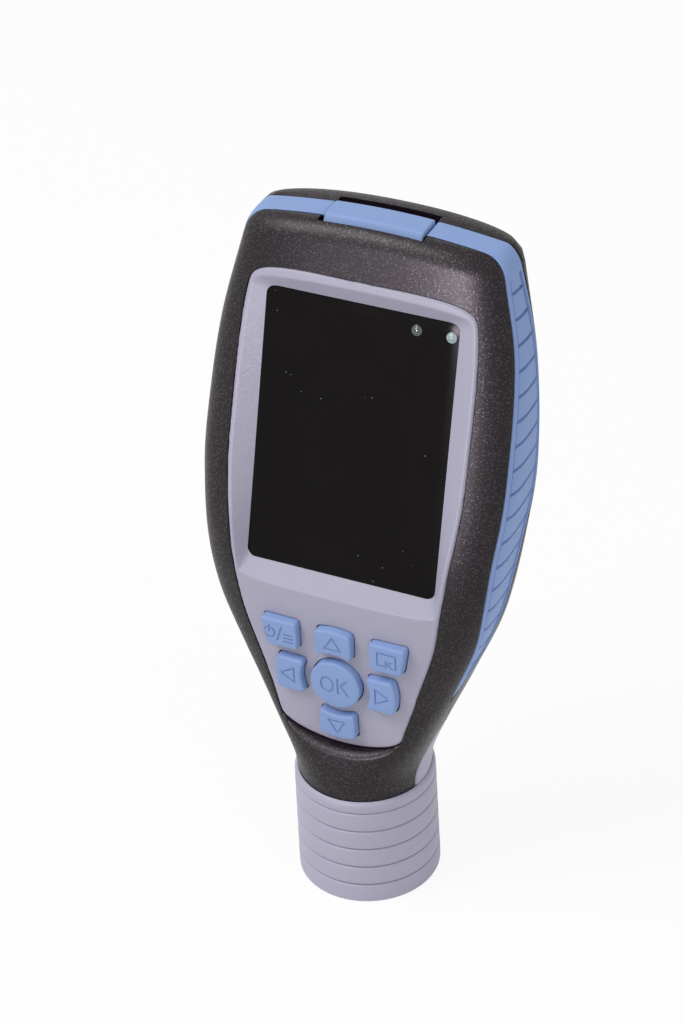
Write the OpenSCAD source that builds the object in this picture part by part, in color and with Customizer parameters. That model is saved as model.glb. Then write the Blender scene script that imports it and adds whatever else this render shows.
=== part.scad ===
/* [Overall] */
// Height of the gauge, from the foot of the skirt to the top of the shells
body_h = 156.4; // [145:0.2:190]
// Width of the gauge across its grip bands
body_w = 72; // [66:0.5:87]
// How far the back of the top stands behind the probe axis
back_y = 31; // [28:0.1:34]

/* [Housing] */
// Wall thickness of the shells
wall = 2.6; // [2.2:0.1:3.2]
// Thickness of the grip bands and tongues let into the shells
inlay_t = 1.4; // [1:0.1:1.7]
// Rounding of the top edge
top_r = 3.8; // [3.4:0.1:6]
// Depth of that rounding from front to back
top_in = 2.9; // [2.8:0.1:4]
// Drop of the arched top from its middle to its full width
crown = 3.7; // [1:0.1:5]
// Lean of the upper body behind the vertical
lean = 18.5; // [14:0.1:20]
// Height at which the front bends
bend_z = 87; // [85:0.5:90]
// Radius of that bend
bend_r = 58; // [40:1:70]

/* [Probe] */
// Radius of the skirt's lowest ring
skirt_r = 16; // [15.6:0.1:19.2]
// Height of the skirt
skirt_h = 28.2; // [27:0.1:31]
// Number of grooves around the skirt
groove_count = 5; // [3:1:5]
// Height of the lowest groove
groove_z = 5.1; // [4:0.1:7.2]
// Distance between grooves
groove_pitch = 5.1; // [4:0.1:5.2]
// Width and depth of a groove
groove = 0.35; // [0.2:0.05:0.5]
// Radius of the neck that plugs into the skirt
neck_r = 14.9; // [14:0.1:14.9]
// Length of neck inside the skirt
neck_in = 8.2; // [6:0.1:9]
// Radius of the spring-loaded sensor
sensor_r = 6; // [5:0.1:7]
// Travel of the sensor below the foot
sensor_travel = 2; // [1:0.1:2.5]
// Radius of the sensor's hard tip
tip_r = 1.8; // [1.2:0.1:2.4]

/* [Front panel] */
// Distance of the keypad face in front of the probe axis
key_plane = 10.45; // [10:0.05:11]
// Thickness of the panel at the keys
panel_t = 2; // [1.6:0.1:2.4]
// Lowest and highest points of the panel
panel_z = [40.6, 146.3]; // [30:0.1:160]
// Gap around the panel in the shell
panel_gap = 0.12; // [0.1:0.02:0.3]

/* [Display] */
// Visible width of the glass
glass_w = 44; // [36:0.1:46]
// Visible height of the glass
glass_h = 60.4; // [50:0.1:61]
// Thickness of the glass
glass_t = 1.2; // [0.8:0.1:1.3]
// Overlap of the glass behind the panel
glass_lap = 1.4; // [1:0.1:1.8]
// Height of the middle of the glass
glass_z = 112.2; // [111:0.1:114]
// Distance of that point behind the probe axis
glass_y = 1.42; // [1.2:0.02:1.6]
// Lean of the glass
glass_lean = 16.5; // [15:0.1:17.5]

/* [Keys] */
// Height of the middle of the round key
key_z = 57.8; // [57:0.1:60]
// Radius of the round key
ok_r = 5.9; // [5:0.1:6.2]
// Space between the round key and the keys around it
key_space = 2.3; // [1.2:0.1:2.6]
// Distance from the middle to the outside of the arrow keys
key_reach = 14.4; // [13:0.1:14.8]
// Width of the arrow keys
key_w = 8.3; // [7:0.1:9.4]
// Height of the keys above the panel
key_proud = 1.9; // [1.2:0.1:2.4]
// Travel of a key
key_travel = 0.8; // [0.4:0.1:1]
// Gap around a key in the panel
key_gap = 0.25; // [0.2:0.05:0.35]

/* [Port cover] */
// Width of the cover
cover_w = 22.4; // [18:0.2:26]
// How far the cover stands above the shells
cover_proud = 0.6; // [0.3:0.1:0.8]
// Radius of the cover's hinge barrel
barrel_r = 1.15; // [1:0.05:1.2]
// Radius of the hinge pin
pin_r = 0.5; // [0.4:0.05:0.6]

/* [Battery] */
// Radius of a cell
cell_r = 7.25; // [6.8:0.05:7.3]
// Length of a cell
cell_l = 50.5; // [44:0.1:51]
// Lean of the cells
cell_lean = 8.5; // [8:0.1:9]
// Place of the foot of the cells, behind and above the origin
cell_foot = [5.1, 48.5]; // [3:0.1:60]

/* [Hidden] */
$fn = 48;
touch = 0.02;
shell_top = body_h;
neck_z = skirt_h - neck_in;
half_max = body_w / 2;
board_t = 1.2;
free_gap = 0.3;

// Outline from the front: share of the height above the skirt, share of the flare
flare = [[0, 0], [0.05, 0.045], [0.123, 0.215], [0.23, 0.5], [0.358, 0.805], [0.545, 0.98], [0.64, 1],
         [0.81, 0.925], [0.955, 0.745], [1.05, 0.6]];
// Line of the back: share of the height above the skirt, share of the way to back_y
back_line = [[0, 0], [0.21, 0.13], [0.435, 0.335], [0.655, 0.565], [0.87, 0.76], [1.05, 1]];
// Width of the grip band: share of its length, width
band_leaf = [[0, 0], [0.08, 5.5], [0.22, 11.5], [0.4, 14.3], [0.58, 14.2], [0.78, 10.5], [1, 6.2]];
// Space between the panel and the outline: share of the height above the skirt, space
panel_space = [[0.1, 5], [0.25, 7.5], [0.42, 9.2], [0.69, 8.5], [0.9, 6.5]];

function mix(a, b, t) = a + (b - a) * t;
function smooth(t) = let (u = min(max(t, 0), 1)) u * u * (3 - 2 * u);
function slope(p, i) =
    let (a = max(i - 1, 0), b = min(i + 1, len(p) - 1)) (p[b][1] - p[a][1]) / (p[b][0] - p[a][0]);
function hermite(p, i, v) =
    let (h = p[i + 1][0] - p[i][0], t = (v - p[i][0]) / h, t2 = t * t, t3 = t2 * t)
    (2 * t3 - 3 * t2 + 1) * p[i][1] + (t3 - 2 * t2 + t) * h * slope(p, i)
    + (3 * t2 - 2 * t3) * p[i + 1][1] + (t3 - t2) * h * slope(p, i + 1);
function spline(p, v) =
    v <= p[0][0] ? p[0][1] :
    v >= p[len(p) - 1][0] ? p[len(p) - 1][1] :
    hermite(p, max([for (i = [0:len(p) - 2]) if (p[i][0] <= v) i]), v);

// The body's section at height z: a rounded shape, wide at wide_y, that grows from the round neck
function share(z) = (z - skirt_h) / (shell_top - skirt_h);
function half_w(z) = mix(neck_r, half_max, spline(flare, share(z)));
bend_z0 = bend_z - bend_r * tan(lean / 2);
bend_z1 = bend_z0 + bend_r * sin(lean);
function bend(z) =
    z <= bend_z0 ? 0 :
    z >= bend_z1 ? (z - bend_z) * tan(lean) :
    bend_r - sqrt(bend_r * bend_r - (z - bend_z0) * (z - bend_z0));
function panel_y(z) = bend(z) - key_plane;
function front_y(z) = panel_y(z) - (neck_r - key_plane) * (1 - smooth((z - skirt_h) / 28));
function rear_y(z) = mix(neck_r, back_y, spline(back_line, share(z)));
function wide_y(z) = mix(front_y(z), rear_y(z), mix(0.5, 0.62, smooth((z - 60) / 60)));
function front_n(z) = mix(2, 4.6, smooth((z - skirt_h) / 30));
function rear_n(z) = mix(2, 3.3, smooth((z - 40) / 55));
// Extra inset of a layer d below the surface, where the top edge is rounded
function edge_inset(z, d) =
    let (r = top_r - d, q = min(max(z - shell_top + top_r, 0), r) / r) (top_in - d) * (1 - sqrt(1 - q * q));
function reach(z, d, front) =
    (front ? wide_y(z) - front_y(z) : rear_y(z) - wide_y(z)) - d - edge_inset(z, d);
function ring_w(z, d) = half_w(z) - d - edge_inset(z, d);
function power(z, front) = front ? front_n(z) : rear_n(z);
function side_x(z, y, d) =
    let (front = y < wide_y(z), n = power(z, front), q = min(abs(y - wide_y(z)) / reach(z, d, front), 1))
    ring_w(z, d) * pow(1 - pow(q, n), 1 / n);
function side_angle(z, y, d) =
    let (front = y < wide_y(z), q = min(abs(y - wide_y(z)) / reach(z, d, front), 1))
    (front ? -1 : 1) * asin(pow(q, power(z, front) / 2));
function rear_at(z, x, d) =
    let (n = rear_n(z), q = min(abs(x) / ring_w(z, d), 1))
    wide_y(z) + reach(z, d, false) * pow(1 - pow(q, n), 1 / n);
function front_at(z, x, d) =
    let (n = front_n(z), q = min(abs(x) / ring_w(z, d), 1))
    wide_y(z) - reach(z, d, true) * pow(1 - pow(q, n), 1 / n);
function ring_point(z, angle, d) =
    let (front = sin(angle) < 0, e = 2 / power(z, front), c = cos(angle))
    [ring_w(z, d) * sign(c) * pow(abs(c), e),
     wide_y(z) + reach(z, d, front) * sign(sin(angle)) * pow(abs(sin(angle)), e), z];
// The top is arched: points sink towards the sides, more so near the top
crown_z = shell_top - 54;
function sink(x, z) = crown * pow(x / half_max, 2) * max(z - crown_z, 0) / (shell_top - crown_z);
function arched(p) = [p[0], p[1], p[2] - sink(p[0], p[2])];

// Seam between the shells, with the tongue at the neck and the grip band above it let in
tongue_z = 44;
tongue_half = 4.9;
tongue_y = 0.6;
band_z = 56;
band_in = 5.4;
band_top_in = 4.1;
seam_lap = 1.2;
function band_edge(z) = front_y(z) + mix(band_in, band_top_in, smooth((z - shell_top) / 20 + 1));
seam = [[tongue_z - 13, tongue_y], [tongue_z, tongue_y], [tongue_z + 6, -2],
    [band_z, front_y(band_z) + band_in]];
function tongue_w(z) =
    tongue_half * pow(max(1 - max(z - tongue_z + 13, 0) / 13, 0), 0.35);
function band_w(z) = spline(band_leaf, (z - band_z) / (shell_top - band_z));
function inlay_front(z) =
    z <= tongue_z ? spline(seam, z) - tongue_w(z) : z <= band_z ? spline(seam, z) : band_edge(z);
function inlay_rear(z) =
    z <= tongue_z ? spline(seam, z) + tongue_w(z) : inlay_front(z) + (z <= band_z ? 0 : band_w(z));
function part_y(z) = mix(inlay_front(z), inlay_rear(z), 0.5) + seam_lap;

// Heights at which the shells are drawn
tip_in = 0.4;
tongue_levels = concat([for (i = [0:6]) mix(neck_z, tongue_z, i / 7)], [tongue_z - tip_in, tongue_z]);
seam_levels = [for (i = [1:2]) mix(tongue_z, band_z, i / 3)];
band_levels = concat([band_z, band_z + tip_in], [for (i = [1:20]) mix(band_z, shell_top - top_r, i / 20)]);
inlay_z = shell_top - inlay_t;
edge_levels = [mix(shell_top - top_r, shell_top - wall, 0.6)];
roof_levels = [shell_top - wall - touch, shell_top - wall, inlay_z - touch];
cap_levels = [inlay_z, shell_top - inlay_t / 3, shell_top];
band_top_levels = concat(edge_levels, roof_levels);
shell_levels = concat(tongue_levels, seam_levels, band_levels, band_top_levels, cap_levels);
outer_n = 20;
inner_n = 16;

// A solid lofted through rings of equal count: the end rings are closed as strips from front to back
function loft_faces(levels, n) = concat(
    [for (k = [0:levels - 2], i = [0:n - 1], half = [0, 1])
        let (j = (i + 1) % n, a = k * n + i, b = k * n + j, c = a + n, d = b + n)
        half == 0 ? [a, c, b] : [b, c, d]],
    [for (end = [0, levels - 1], i = [0:n / 2 - 2], half = [0, 1])
        let (o = end * n, a = o + i, b = o + i + 1, c = o + n - 1 - i, d = o + n - 2 - i)
        end == 0 ? (half == 0 ? [a, b, c] : [b, d, c]) : (half == 0 ? [a, c, b] : [b, c, d])]);
module loft(rings) {
    polyhedron([for (ring = rings, p = ring) p], loft_faces(len(rings), len(rings[0])));
}
function mirrored(p) = [-p[0], p[1], p[2]];
function reversed(list) = [for (i = [len(list) - 1:-1:0]) list[i]];

// Ring of one shell: its outside, the step under the inlays, and its inside or, in the roof, a straight edge
function shell_ring(z, front) =
    let (edge = front ? inlay_front(z) : inlay_rear(z),
         part = part_y(z),
         mid = front ? -90 : 90,
         a0 = side_angle(z, edge, 0),
         outside = [for (i = [0:outer_n]) ring_point(z, mix(a0, 2 * mid - a0, i / outer_n), 0)],
         a1 = side_angle(z, part, wall),
         lip = [[side_x(z, edge, inlay_t), edge, z], [side_x(z, part, inlay_t), part, z]],
         inside = [for (i = [0:inner_n]) ring_point(z, mix(a1, 2 * mid - a1, i / inner_n), wall)],
         span = side_x(z, part, wall),
         beam = [for (i = [0:inner_n]) [mix(span, -span, i / inner_n), part, z]],
         roof = z > shell_top - wall - touch / 2,
         tail = concat(lip, roof ? beam : inside, [mirrored(lip[1]), mirrored(lip[0])]),
         cap_x = side_x(z, edge, 0),
         cap = [for (i = [0:len(tail) - 1]) [cap_x * (1 - 2 * (i + 1) / (len(tail) + 1)), edge, z]])
    let (ring = concat(outside, reversed(z >= inlay_z ? cap : tail)))
    [for (p = ring) arched(front ? mirrored(p) : p)];

// Ring of one inlay on the right side; in the roof it reaches in by a share of the way to the port cover
band_n = 6;
function inlay_ring(z, way) =
    let (ys = [for (i = [0:band_n]) mix(inlay_front(z), inlay_rear(z), i / band_n)],
         inner = cover_w / 2 + free_gap)
    concat([for (y = ys) arched([side_x(z, y, 0), y, z])],
           [for (y = reversed(ys)) arched([mix(side_x(z, y, inlay_t), inner, way), y, z])]);
band_floor = inlay_z + 0.05;
floor_n = 5;
module grip_band() {
    side = [for (z = concat(band_levels, band_top_levels)) if (z > band_z) inlay_ring(z, 0)];
    floor = [for (k = [0:floor_n]) inlay_ring(band_floor + touch * k / floor_n, k / floor_n)];
    loft(concat(side, floor, [for (z = cap_levels) if (z > inlay_z) inlay_ring(z, 1)]));
}
module collar_tongue() { loft([for (z = tongue_levels) if (z < tongue_z) inlay_ring(z, 0)]); }

// Panel outline: a half ellipse below, a flat arch above, between the outline's own curves
panel_end = 5;
panel_cap = 7;
panel_steps = 36;
function panel_half(z, gap) =
    let (low = panel_z[0] - gap, high = panel_z[1] + gap,
         t0 = min((z - low) / panel_end, 1), t1 = min((high - z) / panel_cap, 1))
    (half_w(z) - spline(panel_space, share(z)) + gap)
    * sqrt(max(1 - pow(1 - t0, 2), 0)) * pow(max(1 - pow(1 - t1, 4), 0), 0.25);
function panel_levels(gap) =
    [for (i = [1:panel_steps - 1])
        mix(panel_z[0] - gap, panel_z[1] + gap, (1 - cos(180 * i / panel_steps)) / 2)];
function panel_outline(gap) =
    let (right = [for (z = panel_levels(gap)) [panel_half(z, gap), z]])
    concat(right, [for (p = reversed(right)) [-p[0], p[1]]]);
module panel_prism(gap, y0, y1) {
    translate([0, y1, 0]) rotate([90, 0, 0]) linear_extrude(y1 - y0) polygon(panel_outline(gap));
}

// Places: the display's own plane, the keypad's plane, the cells' own line
module on_glass() { translate([0, glass_y, glass_z]) rotate([90 - glass_lean, 0, 0]) children(); }
module on_keypad(y) { translate([0, y, 0]) rotate([90, 0, 0]) children(); }
module on_cells() { translate([0, cell_foot[0], cell_foot[1]]) rotate([-cell_lean, 0, 0]) children(); }
function glass_plane(z) = glass_y + (z - glass_z) * tan(glass_lean);
function corner_points(w, h, r) =
    [for (q = [0:3], i = [0:4])
        let (a = 90 * q + 22.5 * i, sx = (q == 0 || q == 3) ? 1 : -1, sy = q < 2 ? 1 : -1)
        [sx * (w / 2 - r) + r * cos(a), sy * (h / 2 - r) + r * sin(a)]];
module plate(w, h, r, t) { linear_extrude(t) polygon(corner_points(w, h, r)); }

// Slanted well from the panel's face down to the glass
well_side = 3.6;
well_top = 3;
well_bottom = 4.6;
well_depth = 4;
module window_well() {
    low = corner_points(glass_w, glass_h, 2.5);
    high = [for (p = corner_points(glass_w + 2 * well_side, glass_h + well_top + well_bottom, 5))
        [p[0], p[1] + (well_top - well_bottom) / 2]];
    n = len(low);
    rings = [[for (p = low) [p[0], p[1], -2]], [for (p = low) [p[0], p[1], 0]],
             [for (p = high) [p[0], p[1], well_depth]], [for (p = high) [p[0], p[1], 2 * well_depth]]];
    faces = concat(
        [for (k = [0:2], i = [0:n - 1]) let (j = (i + 1) % n)
            [k * n + i, (k + 1) * n + i, (k + 1) * n + j, k * n + j]],
        [[for (i = [0:n - 1]) i], [for (i = [n - 1:-1:0]) 3 * n + i]]);
    on_glass() polyhedron([for (r = rings, p = r) p], faces);
}

// Key outlines in the keypad plane, about the middle of the round key
ring_r = ok_r + key_space;
key_half = key_w / 2;
arc_n = 6;
// An arrow key points along +Y: hollow towards the round key, bowed outwards
function arrow_outline(grow) =
    let (h = key_half + grow, r = ring_r - (grow > key_gap ? 0 : grow), a = asin(h / r),
         top = key_reach + grow, bow = 0.7)
    concat([for (i = [0:arc_n]) let (t = mix(90 + a, 90 - a, i / arc_n)) [r * cos(t), r * sin(t)]],
           [for (i = [0:arc_n]) let (u = mix(1, -1, i / arc_n)) [1.04 * h * u, top - bow * u * u]]);
// The corner keys are slanted plates beside the upper arrow key
corner_x = [8.6, 17.2];
corner_y = [6.9, 13.9];
corner_slant = 1.3;
function corner_outline(grow) =
    let (x0 = corner_x[0] - grow, x1 = corner_x[1] + grow, y0 = corner_y[0] - grow, y1 = corner_y[1] + grow)
    [[x0, y0], [x1 - corner_slant, y0], [x1, y1], [x0, y1]];
module key_shape(name, grow) {
    if (name == "ok") circle(ok_r + grow);
    else if (name == "power") mirror([1, 0]) polygon(corner_outline(grow));
    else if (name == "return") polygon(corner_outline(grow));
    else rotate(name == "up" ? 0 : name == "left" ? 90 : name == "down" ? 180 : -90)
        polygon(arrow_outline(grow));
}
key_names = ["ok", "up", "down", "left", "right", "power", "return"];
key_flange = 0.6;
key_flange_t = 0.8;
key_rest = 0.1;
flange_y = panel_t + key_rest - key_plane;
mat_y = flange_y + key_flange_t + key_travel + free_gap;
mat_t = 1;
keypad_board_y = mat_y + mat_t;
module key_solid(name) {
    on_keypad(flange_y) translate([0, key_z, 0]) linear_extrude(panel_t + key_rest + key_proud)
        key_shape(name, 0);
    on_keypad(flange_y + key_flange_t) translate([0, key_z, 0]) linear_extrude(key_flange_t)
        key_shape(name, key_flange);
}
function key_middle(name) =
    let (r = (ring_r + key_reach) / 2,
         x = (corner_x[0] + corner_x[1]) / 2, y = (corner_y[0] + corner_y[1]) / 2)
    name == "up" ? [0, r] : name == "down" ? [0, -r] : name == "left" ? [-r, 0] : name == "right" ? [r, 0] :
    name == "power" ? [-x, y] : name == "return" ? [x, y] : [0, 0];

// Port cover in the roof, hinged along its back edge
roof_y = [inlay_front(shell_top), inlay_rear(shell_top)];
cover_y = [roof_y[0] - 1.9, roof_y[1] - 0.6];
cover_z = shell_top + cover_proud;
hinge_y = cover_y[1] - 0.7;
hinge_z = shell_top - 2.4;
swing_r = norm([cover_y[1] - hinge_y, cover_z - hinge_z]) + free_gap;
notch_depth = 3.2;
notch_z = shell_top - notch_depth - sink(cover_w / 2, shell_top);
notch_floor = 1.3;
pin_seat = 1.5;
slant = 26;
slant_y = roof_y[0] + 1;
cover_t = inlay_t + cover_proud - free_gap;
lip_t = notch_depth + cover_proud - free_gap;
pin_gap = 0.05;
socket_size = [8, 5.4, 2.8];
socket_y = mix(roof_y[0], hinge_y - barrel_r, 0.5);
module arch_prism(w, y0, y1, top, t) {
    n = 8;
    xs = [for (i = [0:n]) mix(-w / 2, w / 2, i / n)];
    translate([0, y1, 0]) rotate([90, 0, 0]) linear_extrude(y1 - y0)
        polygon(concat([for (x = xs) [x, top - sink(x, shell_top)]],
                       [for (x = reversed(xs)) [x, top - sink(x, shell_top) - t]]));
}
module hinge_rod(r, x0, x1) {
    translate([x0, hinge_y, hinge_z]) rotate([0, 90, 0]) cylinder(h = x1 - x0, r = r);
}
room_w = cover_w + 2 * free_gap;
notch_w = room_w + 1.2;
module port_room() {
    hinge_rod(pin_r, -room_w / 2 - pin_seat, room_w / 2 + pin_seat);
    hinge_rod(barrel_r + free_gap, -room_w / 2, room_w / 2);
    intersection() {
        hinge_rod(swing_r, -room_w / 2, room_w / 2);
        translate([-room_w, hinge_y, hinge_z - barrel_r]) cube([2 * room_w, 2 * swing_r, 2 * swing_r]);
    }
    translate([-room_w / 2, hinge_y - barrel_r - free_gap, hinge_z])
        cube([room_w, barrel_r + cover_z - hinge_z + 2 * free_gap, 2 * swing_r]);
    translate([-notch_w / 2, cover_y[0] - free_gap, notch_z])
        cube([notch_w, roof_y[0] - cover_y[0] + 2 * free_gap, 2 * notch_depth]);
    hole = [socket_size[0] + 2 * free_gap, socket_size[2] + 2 * free_gap, 4 * top_r];
    translate([-hole[0] / 2, socket_y - hole[1] / 2, shell_top - hole[2] / 2]) cube(hole);
}
// Floor of the finger notch under the cover's lip
module notch_tray() {
    y0 = front_at(notch_z, notch_w / 2, 1);
    translate([-notch_w / 2 - 1, y0, notch_z - notch_floor])
        cube([notch_w + 2, roof_y[0] + 1 - y0, notch_floor + 1]);
}

// Screws from the back, in bosses of the front shell
screw_r = 1.1;
screw_head_r = 2.1;
screw_head_t = 1.4;
boss_r = 2.6;
boss_z = [72, 128];
bore_gap = 0.05;
screw_l = 12;
boss_side = 0.9;
function boss_x(z) = half_w(z) - wall - boss_r - boss_side;
function head_y(z) = rear_at(z, boss_x(z), 0) - screw_head_t - 0.9;
function boss_top(z) = rear_at(z, boss_x(z) + boss_r, wall) - 0.5;
function boss_foot(z) = front_at(z, boss_x(z), wall) - 1;
screw_places = [for (z = boss_z, s = [-1, 1]) [s * boss_x(z), z]];
module along_y(x, z, y0, y1, r) { translate([x, y0, z]) rotate([-90, 0, 0]) cylinder(h = y1 - y0, r = r); }

// Battery bay in the back
bay_half = 15.9;
bay_z = [46.5, 103];
bay_gap = 0.15;
door_t = 1.7;
door_rows = 12;
door_n = 8;
tab_half = 3;
tab_t = 1.5;
function door_ring(z, w, d0, d1) =
    let (xs = [for (i = [0:door_n]) mix(w, -w, i / door_n)])
    concat([for (x = xs) [x, rear_at(z, x, d0), z]], [for (x = reversed(xs)) [x, rear_at(z, x, d1), z]]);
// Tab of the rear shell under the cover's screw
module bay_tab() {
    z0 = bay_z[1] - 6.5;
    loft([for (i = [0:3]) door_ring(z0 + 3.5 * i, tab_half, door_t + touch, door_t + tab_t)]);
}
module bay_prism() {
    translate([-bay_half, wide_y(bay_z[0]) + 2, bay_z[0]]) cube([2 * bay_half, back_y, bay_z[1] - bay_z[0]]);
}
tray_t = 1;
tray_side = 0.9;
tray_end = 1.2;
contact_room = 3.2;
tray_w = 2 * (2 * cell_r + 0.2 + tray_side);

// Probe parts along the axis
tube_r = 11.6;
tube_bore = sensor_r + 1.6;
tube_z = [skirt_h - 24, skirt_h + 4.8];
seat_z = neck_z;
skirt_bore = 12.4;
sensor_len = 31;
collar_t = 2;
bush_z = [tube_z[0] - 2.4, tube_z[0]];
sensor_gap = 0.06;
spring_wire = 0.45;
spring_turns = 5;
spring_r = tube_bore - 0.9;

shell_colour = [0.13, 0.12, 0.12];
grey = [0.63, 0.62, 0.7];
blue = [0.44, 0.57, 0.85];
board_green = [0.1, 0.35, 0.2];
steel = [0.72, 0.72, 0.74];

// Front half of the housing, with the opening for the panel and the bosses for the screws
module front_shell() {
    color(shell_colour) {
        difference() {
            union() {
                loft([for (z = shell_levels) shell_ring(z, true)]);
                notch_tray();
            }
            panel_prism(panel_gap, -2 * neck_r, glass_plane(panel_z[1]) + 1);
            port_room();
        }
        for (p = screw_places) difference() {
            along_y(p[0], p[1], boss_foot(p[1]), boss_top(p[1]), boss_r);
            along_y(p[0], p[1], head_y(p[1]) - screw_l - 1, boss_top(p[1]) + 1, screw_r + bore_gap);
        }
    }
}

// Rear half of the housing, with the battery bay, the screw holes and the room for the port cover
module rear_shell() {
    color(shell_colour) difference() {
        union() {
            difference() {
                loft([for (z = shell_levels) shell_ring(z, false)]);
                bay_prism();
            }
            bay_tab();
        }
        along_y(0, door_screw_z, 0, 2 * back_y, screw_r + bore_gap);
        port_room();
        for (p = screw_places) {
            along_y(p[0], p[1], boss_top(p[1]) - 1, 2 * back_y, screw_r + bore_gap);
            along_y(p[0], p[1], head_y(p[1]), 2 * back_y, screw_head_r + free_gap);
        }
    }
}

// Soft bands let into the seam on both sides, running over the top to the port cover
module right_grip_band() { color(blue) grip_band(); }
module left_grip_band() { color(blue) mirror([1, 0, 0]) grip_band(); }

// Tongues of the probe's collar, let into the neck
module right_tongue() { color(grey) collar_tongue(); }
module left_tongue() { color(grey) mirror([1, 0, 0]) collar_tongue(); }

// Ring of the panel: its face follows the shell, its back is straight across
panel_n = 12;
function panel_face(z, x) = max(front_at(z + sink(x, z), x, 0), panel_y(z));
function panel_back(z) = max(panel_y(z) + panel_t, glass_plane(max(z, bend_z0)));
function panel_ring(z) =
    let (w = panel_half(z, 0), xs = [for (i = [0:panel_n]) mix(-w, w, i / panel_n)])
    concat([for (x = xs) [x, panel_face(z, x), z]], [for (x = reversed(xs)) [x, panel_back(z), z]]);
// Bent panel with the slanted well of the display and the openings of the keys
module front_panel() {
    color(grey) difference() {
        loft([for (z = panel_levels(0)) panel_ring(z)]);
        window_well();
        on_glass() translate([0, 0, -glass_t - 1])
            plate(glass_w + 2 * glass_lap, glass_h + 2 * glass_lap, 3, glass_t + 1);
        for (name = key_names)
            on_keypad(0) translate([0, key_z, 0]) linear_extrude(2 * key_plane) key_shape(name, key_gap);
    }
}

// Glass over the display, with two holes for the status lenses
lens_r = 0.8;
lens_gap = 0.05;
lens_u = 27;
lens_x = [12.5, 20.3];
module display_window() {
    color([0.03, 0.03, 0.03]) difference() {
        on_glass() translate([0, 0, -glass_t])
            plate(glass_w + 2 * glass_lap - 0.2, glass_h + 2 * glass_lap - 0.2, 2.9, glass_t);
        for (x = lens_x) on_glass() translate([x, lens_u, -2 * glass_t])
            cylinder(h = 4 * glass_t, r = lens_r + lens_gap);
    }
}

// Foam frame between the glass and the display
gasket_t = 0.3;
lcd_t = 2.4;
lcd_top = 23;
lcd_size = [glass_w, lcd_top + glass_h / 2];
lcd_mid = lcd_top - lcd_size[1] / 2;
module display_gasket() {
    color([0.2, 0.2, 0.2]) on_glass() translate([0, lcd_mid, -glass_t - gasket_t]) difference() {
        plate(lcd_size[0], lcd_size[1], 1.5, gasket_t);
        translate([0, 0, -1]) plate(lcd_size[0] - 4, lcd_size[1] - 4, 1, 2 + gasket_t);
    }
}

// Display with its backlight
lcd_back = glass_t + gasket_t + lcd_t;
module lcd_module() {
    color([0.25, 0.27, 0.3]) on_glass() translate([0, lcd_mid, -lcd_back])
        plate(lcd_size[0], lcd_size[1], 1, lcd_t);
}

// Main board behind the display, reaching up to the socket in the roof
board_half = 24;
board_low = -glass_h / 2 - 1;
socket_low = shell_top - 1.2 - socket_size[1];
board_high = (socket_low - glass_z) / cos(glass_lean) + 0.9;
module main_board() {
    color(board_green) on_glass() translate([0, (board_low + board_high) / 2, -lcd_back - board_t])
        plate(2 * board_half, board_high - board_low, 2, board_t);
}

// Light guides of the status lights, from the main board through the glass
module status_lens(x) {
    color([0.85, 0.9, 0.92]) on_glass() translate([x, lens_u, -lcd_back]) {
        cylinder(h = lcd_back + 0.1, r = lens_r);
        translate([0, 0, lcd_back + 0.1]) intersection() {
            translate([0, 0, -lens_r]) sphere(r = lens_r * sqrt(2));
            cylinder(h = lens_r, r = lens_r);
        }
    }
}
module left_status_lens() { status_lens(lens_x[0]); }
module right_status_lens() { status_lens(lens_x[1]); }

// Board under the keys
keypad_half = 19;
keypad_low = key_z - key_reach - 1.5;
keypad_high = key_z + corner_y[1] + 2.5;
module keypad_plate(y, t) {
    on_keypad(y + t) linear_extrude(t) polygon([
        [-keypad_half + 6, keypad_low], [keypad_half - 6, keypad_low], [keypad_half, key_z + 4],
        [keypad_half, keypad_high], [-keypad_half, keypad_high], [-keypad_half, key_z + 4]]);
}
module keypad_board() { color(board_green) keypad_plate(keypad_board_y, board_t); }

// Rubber mat between the keys and the board, hollow over each dome
dome_r = 2.8;
dome_t = 0.4;
module keypad_mat() {
    color([0.75, 0.75, 0.78]) difference() {
        keypad_plate(mat_y, mat_t);
        for (name = key_names) let (m = key_middle(name))
            along_y(m[0], key_z + m[1], keypad_board_y - dome_t - 0.1, keypad_board_y + 1, dome_r + 0.2);
    }
}

// Snap domes on the keypad board
module key_domes() {
    color(steel) for (name = key_names) let (m = key_middle(name))
        along_y(m[0], key_z + m[1], keypad_board_y - dome_t, keypad_board_y, dome_r);
}

// The keys: a cap through the panel and a flange behind it
module key_ok() { color(blue) key_solid("ok"); }
module key_up() { color(blue) key_solid("up"); }
module key_down() { color(blue) key_solid("down"); }
module key_left() { color(blue) key_solid("left"); }
module key_right() { color(blue) key_solid("right"); }
module key_power() { color(blue) key_solid("power"); }
module key_return() { color(blue) key_solid("return"); }

// Data socket under the cover, on the edge of the main board
module port_socket() {
    color(steel) difference() {
        translate([-socket_size[0] / 2, socket_y - socket_size[2] / 2, socket_low])
            cube([socket_size[0], socket_size[2], socket_size[1]]);
        translate([-socket_size[0] / 2 + 0.4, socket_y - socket_size[2] / 2 + 0.4, socket_low + 1.4])
            cube([socket_size[0] - 0.8, socket_size[2] - 0.8, socket_size[1]]);
    }
}

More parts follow.
